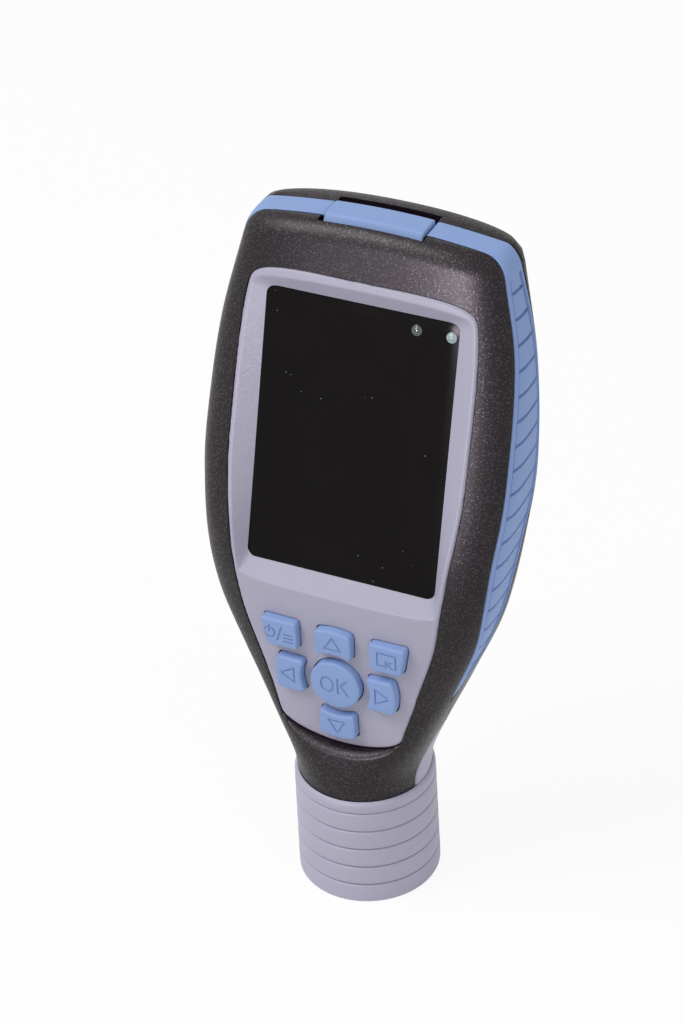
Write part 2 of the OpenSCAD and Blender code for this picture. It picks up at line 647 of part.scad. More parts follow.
// Cover over the socket: arched plate with a slanted finger lip in front and a barrel behind
module port_cover() {
    color(blue) difference() {
        union() {
            arch_prism(cover_w, cover_y[0], cover_y[1], cover_z, cover_t);
            arch_prism(cover_w, cover_y[0], roof_y[0] - free_gap, cover_z, lip_t);
            hinge_rod(barrel_r, -cover_w / 2, cover_w / 2);
            translate([-cover_w / 2, hinge_y - barrel_r, hinge_z])
                cube([cover_w, cover_y[1] - hinge_y + barrel_r, cover_z - hinge_z - cover_t / 2]);
        }
        hinge_rod(pin_r + pin_gap, -cover_w, cover_w);
        rotate([90, 0, 90]) translate([0, 0, -cover_w]) linear_extrude(2 * cover_w) polygon([
            [slant_y, cover_z], [slant_y, cover_z + top_r], [cover_y[0] - 1, cover_z + top_r],
            [cover_y[0] - 1, cover_z - (slant_y - cover_y[0] + 1) * tan(slant)]]);
    }
}

// Hinge pin, seated in the roof at both ends
module hinge_pin() { color(steel) hinge_rod(pin_r, -room_w / 2 - pin_seat, room_w / 2 + pin_seat); }

// Buzzer on the back of the main board
buzzer_r = 4.5;
buzzer_t = 3;
buzzer_at = [-12, 20];
module buzzer() {
    color([0.1, 0.1, 0.1]) on_glass() translate([buzzer_at[0], buzzer_at[1], -lcd_back - board_t - buzzer_t])
        cylinder(h = buzzer_t, r = buzzer_r);
}

// Open tray that holds the two cells
module battery_tray() {
    color([0.16, 0.16, 0.17]) on_cells() difference() {
        translate([-tray_w / 2, -cell_r - tray_t, -contact_room - tray_end])
            cube([tray_w, cell_r + tray_t + 1, cell_l + contact_room + 2 * tray_end + 1]);
        translate([-tray_w / 2 + tray_side, -cell_r - 0.05, -contact_room])
            cube([tray_w - 2 * tray_side, 2 * cell_r, cell_l + contact_room + 1]);
    }
}
module cell(side) {
    nub = 1;
    color([0.2, 0.24, 0.3]) on_cells() translate([side * (cell_r + 0.1), 0, side > 0 ? 0 : cell_l])
        mirror([0, 0, side > 0 ? 0 : 1]) {
            cylinder(h = cell_l - nub, r = cell_r);
            cylinder(h = cell_l, r = 2.7);
        }
}
module left_cell() { cell(-1); }
module right_cell() { cell(1); }

// Contact plates at both ends of the tray, with a spring cone under each cell's foot
contact_t = 0.4;
contact_w = 5;
module battery_contacts() {
    color(steel) on_cells() {
        for (z = [-contact_room, cell_l + 1 - contact_t])
            translate([-2 * cell_r, -contact_w, z]) cube([4 * cell_r, contact_w, contact_t]);
        for (s = [-1, 1]) translate([s * (cell_r + 0.1), -2.5, -contact_room + contact_t])
            cylinder(h = contact_room - contact_t - 0.05, r1 = 2.4, r2 = 1.5);
    }
}

// Cover of the battery bay, flush with the back
door_screw_z = bay_z[1] - 3.5;
door_screw_y = rear_at(door_screw_z, 0, 0) - 1;
module battery_cover() {
    color(shell_colour) difference() {
        loft([for (i = [0:door_rows]) let (z = mix(bay_z[0] + bay_gap, bay_z[1] - bay_gap, i / door_rows))
            door_ring(z, bay_half - bay_gap, 0, door_t)]);
        along_y(0, door_screw_z, 0, 2 * back_y, screw_r + bore_gap);
        along_y(0, door_screw_z, door_screw_y, 2 * back_y, screw_head_r + free_gap);
    }
}
module cover_screw() {
    y = door_screw_y;
    color(steel) {
        along_y(0, door_screw_z, y, y + screw_head_t, screw_head_r);
        along_y(0, door_screw_z, y - screw_l / 2, y + 0.5, screw_r);
    }
}

// Screws that hold the shells together
module housing_screws() {
    color(steel) for (p = screw_places) {
        along_y(p[0], p[1], head_y(p[1]), head_y(p[1]) + screw_head_t, screw_head_r);
        along_y(p[0], p[1], head_y(p[1]) - screw_l, head_y(p[1]) + 0.5, screw_r);
    }
}

// Ribbed skirt that stands on the work and holds the neck
ring_step = 0.05;
function skirt_ring(k) = skirt_r - ring_step * k;
module probe_skirt() {
    grooves = [for (k = [0:groove_count - 1]) groove_z + k * groove_pitch];
    outside = concat([[skirt_r, 0]],
        [for (k = [0:groove_count - 1], p = [[0, 0, -1], [0, 1, -0.5], [1, 1, 0], [1, 0, 1]])
            [skirt_ring(k + p[0]) - groove * p[1], grooves[k] + groove * p[2]]],
        [[skirt_ring(groove_count), skirt_h - 0.9], [skirt_ring(groove_count) - 0.5, skirt_h]]);
    color(grey) rotate_extrude() polygon(concat([[skirt_bore, 0]], outside,
        [[neck_r + 0.1, skirt_h], [neck_r + 0.1, seat_z], [skirt_bore, seat_z]]));
}

// Tube inside the neck that carries the sensor
module probe_tube() {
    color([0.3, 0.3, 0.32]) rotate_extrude() polygon([
        [tube_bore, tube_z[0]], [skirt_bore - 0.05, tube_z[0]], [skirt_bore - 0.05, seat_z],
        [tube_r, seat_z], [tube_r, tube_z[1]], [tube_bore, tube_z[1]]]);
}
module guide_bush() {
    color([0.8, 0.7, 0.4]) rotate_extrude() polygon([
        [sensor_r + sensor_gap, bush_z[0]], [tube_r, bush_z[0]], [tube_r, bush_z[1]],
        [sensor_r + sensor_gap, bush_z[1]]]);
}

// Sprung sensor: a stem with a collar that rests on the guide bush at full reach
module sensor() {
    color(steel) rotate_extrude() polygon([
        [0, 1], [sensor_r - 0.6, 1], [sensor_r, 1.6], [sensor_r, bush_z[1] + sensor_travel],
        [tube_bore - 0.2, bush_z[1] + sensor_travel], [tube_bore - 0.2, bush_z[1] + sensor_travel + collar_t],
        [3, bush_z[1] + sensor_travel + collar_t], [3, sensor_len], [0, sensor_len]]);
}
module sensor_tip() {
    color([0.45, 0.45, 0.47]) rotate_extrude() polygon(concat(
        [[0, 1]], [for (i = [0:8]) let (a = 90 * i / 8) [tip_r * cos(a), 1 - sin(a)]]));
}

// Spring between the sensor's collar and the retaining ring
ring_z = tube_z[1] - 4;
ring_t = 1.2;
spring_z = [bush_z[1] + sensor_travel + collar_t + spring_wire, ring_z - spring_wire];
module sensor_spring() {
    n = 14 * spring_turns;
    m = 6;
    rings = [for (k = [0:n]) let (a = 360 * spring_turns * k / n, z = mix(spring_z[0], spring_z[1], k / n))
        [for (i = [0:m - 1]) let (b = 360 * i / m, r = spring_r - 1 + spring_wire * cos(b))
            [r * cos(a), r * sin(a), z + spring_wire * sin(b)]]];
    faces = concat([for (k = [0:n - 1], i = [0:m - 1], half = [0, 1])
            let (j = (i + 1) % m, a = k * m + i, b = k * m + j, c = a + m, d = b + m)
            half == 0 ? [a, c, b] : [b, c, d]],
        [[for (i = [0:m - 1]) i], [for (i = [m - 1:-1:0]) n * m + i]]);
    color(steel) polyhedron([for (ring = rings, p = ring) p], faces);
}
module retaining_ring() {
    color(steel) rotate_extrude() polygon([
        [3.4, ring_z], [tube_bore, ring_z], [tube_bore, ring_z + ring_t], [3.4, ring_z + ring_t]]);
}

// Round board on top of the probe tube
module probe_board() {
    color(board_green) translate([0, 0, tube_z[1]]) cylinder(h = board_t, r = tube_r - 1);
}

// Flat cable from the probe board up to the keypad board
cable_w = 8;
cable_t = 0.3;
cable_path = [[-2, tube_z[1] + board_t], [-2, tube_z[1] + board_t + 2],
              [keypad_board_y + board_t, keypad_low + 1.6], [keypad_board_y + board_t, keypad_low + 5]];
module flat_cable() {
    back = [for (p = cable_path) [p[0] + cable_t, p[1]]];
    color([0.85, 0.75, 0.4]) rotate([90, 0, 90]) translate([0, 0, -cable_w / 2]) linear_extrude(cable_w)
        polygon(concat(cable_path, reversed(back)));
}

front_shell();
rear_shell();
left_grip_band();
right_grip_band();
left_tongue();
right_tongue();
front_panel();
display_window();
display_gasket();
lcd_module();
main_board();
keypad_board();
keypad_mat();
key_domes();
left_status_lens();
right_status_lens();
port_socket();
port_cover();
hinge_pin();
buzzer();
battery_tray();
left_cell();
right_cell();
battery_contacts();
battery_cover();
cover_screw();
housing_screws();
probe_skirt();
probe_tube();
guide_bush();
retaining_ring();
sensor();
sensor_tip();
sensor_spring();
probe_board();
flat_cable();
key_ok();
key_up();
key_down();
key_left();
key_right();
key_power();
key_return();
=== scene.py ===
import math

import bmesh
import bpy
import numpy as np
from mathutils import Matrix
from mathutils.kdtree import KDTree


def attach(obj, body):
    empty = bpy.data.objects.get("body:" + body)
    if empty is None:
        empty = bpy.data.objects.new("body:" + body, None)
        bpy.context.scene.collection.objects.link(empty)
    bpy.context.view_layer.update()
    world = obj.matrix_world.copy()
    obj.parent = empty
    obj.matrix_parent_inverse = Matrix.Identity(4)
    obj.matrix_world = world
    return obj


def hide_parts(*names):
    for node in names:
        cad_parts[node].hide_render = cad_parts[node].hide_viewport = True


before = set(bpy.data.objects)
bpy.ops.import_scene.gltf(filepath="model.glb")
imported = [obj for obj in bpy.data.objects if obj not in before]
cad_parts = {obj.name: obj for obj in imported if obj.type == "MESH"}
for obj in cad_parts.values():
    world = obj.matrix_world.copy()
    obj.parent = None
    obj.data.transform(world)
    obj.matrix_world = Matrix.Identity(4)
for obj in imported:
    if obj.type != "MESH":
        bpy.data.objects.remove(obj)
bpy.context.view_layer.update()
scene = bpy.context.scene


# Probe skirt
# The grey sleeve that the gauge stands on, moulded in satin plastic with five rounded rings.
# It is pushed over the neck of the housing and carries the probe.

def screen(r, g, b):
    """Linear colour of a colour written as it shows on a screen."""
    shares = [c / 255 for c in (r, g, b)]
    return tuple(c / 12.92 if c < 0.04045 else ((c + 0.055) / 1.055) ** 2.4 for c in shares) + (1.0,)


def join(tree, *pairs):
    """Links each pair of sockets."""
    for a, b in pairs:
        tree.links.new(a, b)


def sum_node(tree, operation, second=None, kind="ShaderNodeMath"):
    """A new sum with numbers or vectors, and its second value where that is fixed."""
    node = tree.nodes.new(kind)
    node.operation = operation
    if second is not None:
        node.inputs[1].default_value = second
    return node


def moulding_grain():
    """Shader group: the fine grain of a moulding tool, and slow changes of gloss and shade."""
    group = bpy.data.node_groups.new("moulding_grain", "ShaderNodeTree")
    for name, way in (("Grain size", "INPUT"), ("Gloss change", "INPUT"), ("Roughness", "INPUT"),
                      ("Height", "OUTPUT"), ("Roughness", "OUTPUT"), ("Shade", "OUTPUT")):
        group.interface.new_socket(name=name, in_out=way, socket_type="NodeSocketFloat")
    new = group.nodes.new
    start, end = new("NodeGroupInput"), new("NodeGroupOutput")
    place, fine, slow = new("ShaderNodeTexCoord"), new("ShaderNodeTexNoise"), new("ShaderNodeTexNoise")
    fine.inputs["Detail"].default_value = 3.0
    slow.inputs["Scale"].default_value = 55.0
    slow.inputs["Detail"].default_value = 4.0
    centre = sum_node(group, "SUBTRACT", 0.5)
    swing, gloss = sum_node(group, "MULTIPLY"), sum_node(group, "ADD")
    join(group,
         (place.outputs["Object"], fine.inputs["Vector"]), (place.outputs["Object"], slow.inputs["Vector"]),
         (start.outputs["Grain size"], fine.inputs["Scale"]), (slow.outputs["Fac"], centre.inputs[0]),
         (centre.outputs[0], swing.inputs[0]), (start.outputs["Gloss change"], swing.inputs[1]),
         (swing.outputs[0], gloss.inputs[0]), (start.outputs["Roughness"], gloss.inputs[1]),
         (fine.outputs["Fac"], end.inputs["Height"]), (gloss.outputs[0], end.inputs["Roughness"]),
         (slow.outputs["Fac"], end.inputs["Shade"]))
    return group


def mica_fleck():
    """Shader group: a mask of small bright flecks strewn in the plastic, each with a tilt of its own."""
    group = bpy.data.node_groups.new("mica_fleck", "ShaderNodeTree")
    for name, way in (("Scale", "INPUT"), ("Share", "INPUT"), ("Mask", "OUTPUT")):
        group.interface.new_socket(name=name, in_out=way, socket_type="NodeSocketFloat")
    group.interface.new_socket(name="Tilt", in_out="OUTPUT", socket_type="NodeSocketVector")
    new = group.nodes.new
    start, end = new("NodeGroupInput"), new("NodeGroupOutput")
    place, cells = new("ShaderNodeTexCoord"), new("ShaderNodeTexVoronoi")
    split, near = new("ShaderNodeSeparateColor"), new("ShaderNodeMapRange")
    near.inputs["From Min"].default_value = 0.45
    near.inputs["From Max"].default_value = 0.2
    pick, both = sum_node(group, "LESS_THAN"), sum_node(group, "MULTIPLY")
    most_tilt = 0.18
    level_out = sum_node(group, "MULTIPLY_ADD", (2 * most_tilt,) * 3, "ShaderNodeVectorMath")
    level_out.inputs[2].default_value = (-most_tilt,) * 3
    tilt = sum_node(group, "SCALE", kind="ShaderNodeVectorMath")
    join(group,
         (place.outputs["Object"], cells.inputs["Vector"]), (start.outputs["Scale"], cells.inputs["Scale"]),
         (cells.outputs["Color"], split.inputs["Color"]), (split.outputs["Red"], pick.inputs[0]),
         (start.outputs["Share"], pick.inputs[1]), (cells.outputs["Distance"], near.inputs["Value"]),
         (pick.outputs[0], both.inputs[0]), (near.outputs["Result"], both.inputs[1]),
         (both.outputs[0], end.inputs["Mask"]), (cells.outputs["Color"], level_out.inputs[0]),
         (level_out.outputs[0], tilt.inputs[0]), (both.outputs[0], tilt.inputs["Scale"]),
         (tilt.outputs[0], end.inputs["Tilt"]))
    return group


grain_group, fleck_group = moulding_grain(), mica_fleck()


def moulded(name, colour, roughness, grain=2200.0, bump=0.12, shade=0.05, fleck=None, metallic=0.0, coat=0.0,
            specular=0.5, glint=0.0):
    """A moulded plastic or plain metal; fleck is (colour, scale, share, strength) of what glitters in it,
    and glint is the weight of the clear coat on each fleck."""
    material = bpy.data.materials.new(name)
    material.use_nodes = True
    tree = material.node_tree
    skin_node = tree.nodes["Principled BSDF"]
    skin_node.inputs["Metallic"].default_value = metallic
    skin_node.inputs["Coat Weight"].default_value = coat
    skin_node.inputs["Specular IOR Level"].default_value = specular
    grain_node = tree.nodes.new("ShaderNodeGroup")
    grain_node.node_tree = grain_group
    grain_node.inputs["Grain size"].default_value = grain
    grain_node.inputs["Gloss change"].default_value = 0.16
    grain_node.inputs["Roughness"].default_value = roughness
    relief = tree.nodes.new("ShaderNodeBump")
    relief.inputs["Strength"].default_value = bump
    relief.inputs["Distance"].default_value = 0.0001
    tint = tree.nodes.new("ShaderNodeMix")
    tint.data_type = "RGBA"
    tint.inputs[6].default_value = tuple(c * (1 - shade) for c in colour[:3]) + (1.0,)
    tint.inputs[7].default_value = tuple(min(c * (1 + shade), 1.0) for c in colour[:3]) + (1.0,)
    join(tree,
         (grain_node.outputs["Height"], relief.inputs["Height"]),
         (grain_node.outputs["Roughness"], skin_node.inputs["Roughness"]),
         (grain_node.outputs["Shade"], tint.inputs[0]))
    if fleck is None:
        join(tree, (relief.outputs[0], skin_node.inputs["Normal"]),
             (tint.outputs[2], skin_node.inputs["Base Color"]))
        return material
    fleck_colour, fleck_scale, fleck_share, strength = fleck
    fleck_node = tree.nodes.new("ShaderNodeGroup")
    fleck_node.node_tree = fleck_group
    fleck_node.inputs["Scale"].default_value = fleck_scale
    fleck_node.inputs["Share"].default_value = fleck_share
    strewn = tree.nodes.new("ShaderNodeMix")
    strewn.data_type = "RGBA"
    strewn.inputs[7].default_value = fleck_colour
    skin_node.inputs["Coat Roughness"].default_value = roughness
    weight, gleam = sum_node(tree, "MULTIPLY", strength), sum_node(tree, "MULTIPLY", glint)
    tilted = sum_node(tree, "ADD", kind="ShaderNodeVectorMath")
    facing = sum_node(tree, "NORMALIZE", kind="ShaderNodeVectorMath")
    join(tree,
         (fleck_node.outputs["Mask"], gleam.inputs[0]), (gleam.outputs[0], skin_node.inputs["Coat Weight"]),
         (relief.outputs[0], tilted.inputs[0]), (fleck_node.outputs["Tilt"], tilted.inputs[1]),
         (tilted.outputs[0], facing.inputs[0]), (facing.outputs[0], skin_node.inputs["Normal"]),
         (fleck_node.outputs["Mask"], weight.inputs[0]), (weight.outputs[0], strewn.inputs[0]),
         (weight.outputs[0], skin_node.inputs["Metallic"]), (tint.outputs[2], strewn.inputs[6]),
         (strewn.outputs[2], skin_node.inputs["Base Color"]))
    return material


MM = 0.001
SHARP_EDGE = math.radians(38)


def shaded(mesh):
    """Smooth shading, broken at sharp edges."""
    mesh.shade_smooth()
    mesh.set_sharp_from_angle(angle=SHARP_EDGE)


def solid(name, points, faces, material):
    """An object from points in mm: doubles merged, faces turned outwards."""
    mesh = bpy.data.meshes.new(name)
    mesh.from_pydata((np.asarray(points, float).reshape(-1, 3) * MM).tolist(), [], faces)
    work = bmesh.new()
    work.from_mesh(mesh)
    bmesh.ops.remove_doubles(work, verts=work.verts, dist=1e-7)
    bmesh.ops.dissolve_degenerate(work, edges=work.edges, dist=1e-8)
    bmesh.ops.recalc_face_normals(work, faces=work.faces)
    if work.calc_volume(signed=True) < 0:
        bmesh.ops.reverse_faces(work, faces=work.faces)
    work.to_mesh(mesh)
    work.free()
    shaded(mesh)
    mesh.materials.append(material)
    thing = bpy.data.objects.new(name, mesh)
    scene.collection.objects.link(thing)
    return thing


def loops(count, n, close_rows=False):
    """Faces between rings, count of them with n points each."""
    last = count if close_rows else count - 1
    return [(k * n + i, k * n + (i + 1) % n, (k + 1) % count * n + (i + 1) % n, (k + 1) % count * n + i)
            for k in range(last) for i in range(n)]


def turned(profile, steps=160):
    """Points and faces of a closed profile of (radius, height) turned about the probe axis."""
    a = np.linspace(0, 2 * np.pi, steps, endpoint=False)
    points = [[(r * np.cos(t), r * np.sin(t), z) for t in a] for r, z in profile]
    return points, loops(len(profile), steps, True)


def as_mesh(thing):
    """Turns the evaluated object into its plain mesh and drops its modifiers."""
    thing_now = thing.evaluated_get(bpy.context.evaluated_depsgraph_get())
    mesh = bpy.data.meshes.new_from_object(thing_now)
    thing.modifiers.clear()
    thing.data = mesh
    shaded(mesh)
    return thing


def geometry_tree(title, *inputs):
    """Geometry nodes to be filled: the tree, its input sockets by name, and its start."""
    tree = bpy.data.node_groups.new(title, "GeometryNodeTree")
    sockets = {}
    for name, kind in (("Geometry", "Geometry"), *inputs, ("Material", "Material")):
        sockets[name] = tree.interface.new_socket(name=name, in_out="INPUT", socket_type="NodeSocket" + kind)
    tree.interface.new_socket(name="Geometry", in_out="OUTPUT", socket_type="NodeSocketGeometry")
    return tree, sockets, tree.nodes.new("NodeGroupInput")


def painted(tree, start, geometry):
    """Ends a tree: real copies of the geometry, painted with the material that comes in."""
    real, paint = tree.nodes.new("GeometryNodeRealizeInstances"), tree.nodes.new("GeometryNodeSetMaterial")
    end = tree.nodes.new("NodeGroupOutput")
    join(tree,
         (geometry, real.inputs[0]), (real.outputs[0], paint.inputs["Geometry"]),
         (start.outputs["Material"], paint.inputs["Material"]), (paint.outputs[0], end.inputs[0]))


def ring_stack():
    """Geometry nodes: the ring that comes in, repeated up the skirt, each a little narrower."""
    tree, sockets, start = geometry_tree("skirt_rings", ("Rings", "Int"), ("Pitch", "Float"),
                                         ("Taper", "Float"))
    new = tree.nodes.new
    line, put = new("GeometryNodeMeshLine"), new("GeometryNodeInstanceOnPoints")
    rise = new("ShaderNodeCombineXYZ")
    index, size = new("GeometryNodeInputIndex"), new("ShaderNodeCombineXYZ")
    narrow, width = sum_node(tree, "MULTIPLY"), sum_node(tree, "SUBTRACT")
    width.inputs[0].default_value = 1.0
    size.inputs["Z"].default_value = 1.0
    join(tree,
         (start.outputs["Rings"], line.inputs["Count"]), (start.outputs["Pitch"], rise.inputs["Z"]),
         (rise.outputs[0], line.inputs["Offset"]), (line.outputs[0], put.inputs["Points"]),
         (start.outputs["Geometry"], put.inputs["Instance"]), (index.outputs[0], narrow.inputs[0]),
         (start.outputs["Taper"], narrow.inputs[1]), (narrow.outputs[0], width.inputs[1]),
         (width.outputs[0], size.inputs["X"]), (width.outputs[0], size.inputs["Y"]),
         (size.outputs[0], put.inputs["Scale"]))
    painted(tree, start, put.outputs[0])
    return tree, sockets


def grown(thing, tree, sockets, values):
    """Runs a tree on an object with the named values and keeps the plain mesh."""
    step = thing.modifiers.new(tree.name, "NODES")
    step.node_group = tree
    for name, value in values.items():
        step[sockets[name].identifier] = value
    return as_mesh(thing)


grey = moulded("satin_grey", screen(168, 166, 184), 0.46, grain=2600.0, bump=0.1, shade=0.03, specular=0.25)
SKIRT_R, RING_PITCH, RING_STEP = 16, 5.1, 0.05
# Sections of (radius, height): one ring with its rounded edges and groove, and the core with its top bead.
ring_profile = [(15.2, 0.0), (15.78, 0.0), (15.92, 0.05), (15.985, 0.16), (16.0, 0.36), (16.0, 4.32),
                (15.97, 4.5), (15.88, 4.64), (15.74, 4.73), (15.5, 4.78), (15.42, 4.82), (15.42, 5.08),
                (15.2, 5.08)]
core_profile = [(12.4, 0.0), (15.4, 0.0), (15.4, 25.45), (15.62, 25.5), (15.72, 25.6), (15.75, 25.8),
                (15.75, 26.9), (15.7, 27.35), (15.57, 27.74), (15.38, 28.02), (15.15, 28.16), (15.0, 28.2),
                (15.0, 20.0), (12.4, 20.0)]
skirt_core = solid("skirt_core", *turned(core_profile), grey)
skirt_rings = solid("skirt_rings", *turned(ring_profile), grey)
grown(skirt_rings, *ring_stack(),
      {"Rings": 5, "Pitch": RING_PITCH * MM, "Taper": RING_STEP / SKIRT_R, "Material": grey})
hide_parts("probe_skirt")
for piece in (skirt_core, skirt_rings):
    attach(piece, "housing")


# Rear shell
# The back half of the housing, moulded in black plastic with a fine sparkle. It meets the front
# shell at the grip bands, takes the battery cover, and has a groove in its roof for the port cover.

# Share of the way from neck to top, and share of the full width or depth that the body has there.
FLARE = [[0, 0], [0.05, 0.045], [0.123, 0.215], [0.23, 0.5], [0.358, 0.805], [0.545, 0.98], [0.64, 1],
         [0.81, 0.925], [0.955, 0.745], [1.05, 0.6]]
BACK = [[0, 0], [0.21, 0.13], [0.435, 0.335], [0.655, 0.565], [0.87, 0.76], [1.05, 1]]
# Share of the way up a grip band, and its width in mm.
LEAF = [[0, 0], [0.08, 5.5], [0.22, 11.5], [0.4, 14.3], [0.58, 14.2], [0.78, 10.5], [1, 6.2]]
TOP, NECK, SHELL_FOOT, SHELL_WALL = 156.4, 28.2, 25.0, 2.2
# The rounded top edge: its height, how far it draws in, and its length along the surface.
CORNER, INSET, ROUND = 3.8, 2.9, 5.3
SIDE_END = TOP - CORNER + ROUND
# Distances from the probe's axis, and the lean of the upper body with the place and radius of its bend.
NECK_R, BODY_HALF, BACK_Y, PANEL_FRONT = 14.9, 36, 31, 10.45
LEAN, BEND_Z, BEND_R = math.radians(18.5), 87, 58
# The arch of the top: its rise, and the height over which it grows.
CROWN, CROWN_RUN = 3.7, 54
# Powers of the body's rounded section: a circle at the neck, squarer above.
NECK_POWER, FRONT_POWER, REAR_POWER = 2, 4.6, 3.3
# Heights over which the section changes, and the share of the depth at which it is widest.
FRONT_RUN, FRONT_POWER_RUN, REAR_POWER_FOOT, REAR_POWER_RUN = 28, 30, 40, 55
WIDE_FOOT, WIDE_RUN, WIDE_BELOW, WIDE_ABOVE = 60, 60, 0.5, 0.62
# The seam's inlays: heights of tongue and band, and how far behind the front a band starts.
TONGUE_FOOT, TONGUE_TIP, TONGUE_HALF, TONGUE_Y, TONGUE_POWER = 31, 44, 4.9, 0.6, 0.35
BAND_FOOT, BAND_SIDE, BAND_ROOF, BAND_ROOF_RUN = 56.0, 5.4, 4.1, 20
SEAM_BEND = [50, -2]


def mix(a, b, t):
    return a + (b - a) * t


def smooth(t):
    """Eases from 0 to 1."""
    t = np.clip(t, 0, 1)
    return t * t * (3 - 2 * t)


def spline(points, v):
    """A smooth line through the points, level beyond its ends."""
    x, y = np.array(points, float).T
    before, after = np.maximum(np.arange(len(x)) - 1, 0), np.minimum(np.arange(len(x)) + 1, len(x) - 1)
    slope = (y[after] - y[before]) / (x[after] - x[before])
    v = np.clip(v, x[0], x[-1])
    i = np.clip(np.searchsorted(x, v, side="right") - 1, 0, len(x) - 2)
    h = x[i + 1] - x[i]
    t = (v - x[i]) / h
    return ((2 * t ** 3 - 3 * t ** 2 + 1) * y[i] + (t ** 3 - 2 * t ** 2 + t) * h * slope[i]
            + (3 * t ** 2 - 2 * t ** 3) * y[i + 1] + (t ** 3 - t ** 2) * h * slope[i + 1])


def share(z):
    """Share of the way from neck to top."""
    return (z - NECK) / (TOP - NECK)


def half_w(z):
    """Half width of the body."""
    return mix(NECK_R, BODY_HALF, spline(FLARE, share(z)))


def bend(z):
    """How far the body leans back: upright below, an arc, then straight at its lean."""
    low = BEND_Z - BEND_R * math.tan(LEAN / 2)
    high = low + BEND_R * math.sin(LEAN)
    arc = BEND_R - np.sqrt(np.maximum(BEND_R ** 2 - (np.clip(z, low, high) - low) ** 2, 0))
    return np.where(z <= low, 0, np.where(z >= high, (z - BEND_Z) * math.tan(LEAN), arc))


def panel_y(z):
    """Depth of the flat front that the keys stand in."""
    return bend(z) - PANEL_FRONT


def front_y(z):
    """Depth of the body's front, which comes forward to the round neck."""
    return panel_y(z) - (NECK_R - PANEL_FRONT) * (1 - smooth((z - NECK) / FRONT_RUN))


def rear_y(z):
    """Depth of the body's back."""
    return mix(NECK_R, BACK_Y, spline(BACK, share(z)))


def wide_y(z):
    """Depth at which the body is widest: halfway at the neck, further back above."""
    part = mix(WIDE_BELOW, WIDE_ABOVE, smooth((z - WIDE_FOOT) / WIDE_RUN))
    return mix(front_y(z), rear_y(z), part)


def front_n(z):
    """Power of the section's front half."""
    return mix(NECK_POWER, FRONT_POWER, smooth((z - NECK) / FRONT_POWER_RUN))


def rear_n(z):
    """Power of the section's rear half."""
    return mix(NECK_POWER, REAR_POWER, smooth((z - REAR_POWER_FOOT) / REAR_POWER_RUN))


def sink(x, z):
    """The arch of the top: how far a place lies below its height on the middle line."""
    return CROWN * (x / BODY_HALF) ** 2 * np.maximum(z - (TOP - CROWN_RUN), 0) / CROWN_RUN


def level(s):
    """Height and inset of a place s mm up the side, over the rounded top edge."""
    a = np.clip((np.asarray(s, float) - TOP + CORNER) / ROUND, 0, 1) * np.pi / 2
    return np.minimum(s, TOP - CORNER) + CORNER * np.sin(a), INSET * (1 - np.cos(a))


def section(s, front, d=0.0):
    """Height, power, half width and reach of the body's section at s, d mm below the surface."""
    z, inset = level(s)
    power = np.where(front, front_n(z), rear_n(z))
    reach = np.where(front, wide_y(z) - front_y(z), rear_y(z) - wide_y(z)) - inset - d
    return z, power, half_w(z) - inset - d, reach


def skin(s, angle, d=0.0):
    """Points of the body's surface at an angle round it from its right side."""
    z, power, width, reach = section(s, np.sin(angle) < 0, d)
    c, q = np.cos(angle), np.sin(angle)
    r = (np.abs(c) ** power + np.abs(q) ** power) ** (-1 / power)
    x, y = width * r * c, wide_y(z) + reach * r * q
    z = np.minimum(z, TOP - d)
    return np.stack([x, y, z - sink(x, z)], axis=-1)


def angle_at(s, y):
    """Angle of the right-hand place with depth y."""
    z, _ = level(s)
    front = y < wide_y(z)
    z, power, _, reach = section(s, front)
    q = np.clip((y - wide_y(z)) / reach, -1, 1)
    return np.arctan2(q, (1 - np.abs(q) ** power) ** (1 / power))


def band_edge(z):
    """Depth of a grip band's front edge, which draws forward near the roof."""
    return front_y(z) + mix(BAND_SIDE, BAND_ROOF, smooth((z - TOP) / BAND_ROOF_RUN + 1))


def inlay(z, rear):
    """Front or rear edge of what lies between the shells: tongue, plain seam, grip band."""
    seam = spline([[TONGUE_FOOT, TONGUE_Y], [TONGUE_TIP, TONGUE_Y], SEAM_BEND,
                   [BAND_FOOT, float(front_y(BAND_FOOT)) + BAND_SIDE]], z)
    risen = np.maximum(z - TONGUE_FOOT, 0) / (TONGUE_TIP - TONGUE_FOOT)
    tongue = TONGUE_HALF * np.maximum(1 - risen, 0) ** TONGUE_POWER
    band = band_edge(z) + (spline(LEAF, (z - BAND_FOOT) / (TOP - BAND_FOOT)) if rear else 0)
    leaf = seam + (tongue if rear else -tongue)
    return np.where(z <= TONGUE_TIP, leaf, np.where(z <= BAND_FOOT, seam, band))


# Depths of the front and rear edge of what lies in the roof.
ROOF = (float(inlay(TOP, False)), float(inlay(TOP, True)))


def spread(points, count):
    """Points at even steps along a line, its last point left to the next line."""
    points = np.asarray(points, float)
    way = np.concatenate([[0], np.cumsum(np.linalg.norm(np.diff(points, axis=0), axis=1))])
    at = np.linspace(0, way[-1], count, endpoint=False)
    return np.stack([np.interp(at, way, points[:, k]) for k in range(points.shape[1])], axis=-1)


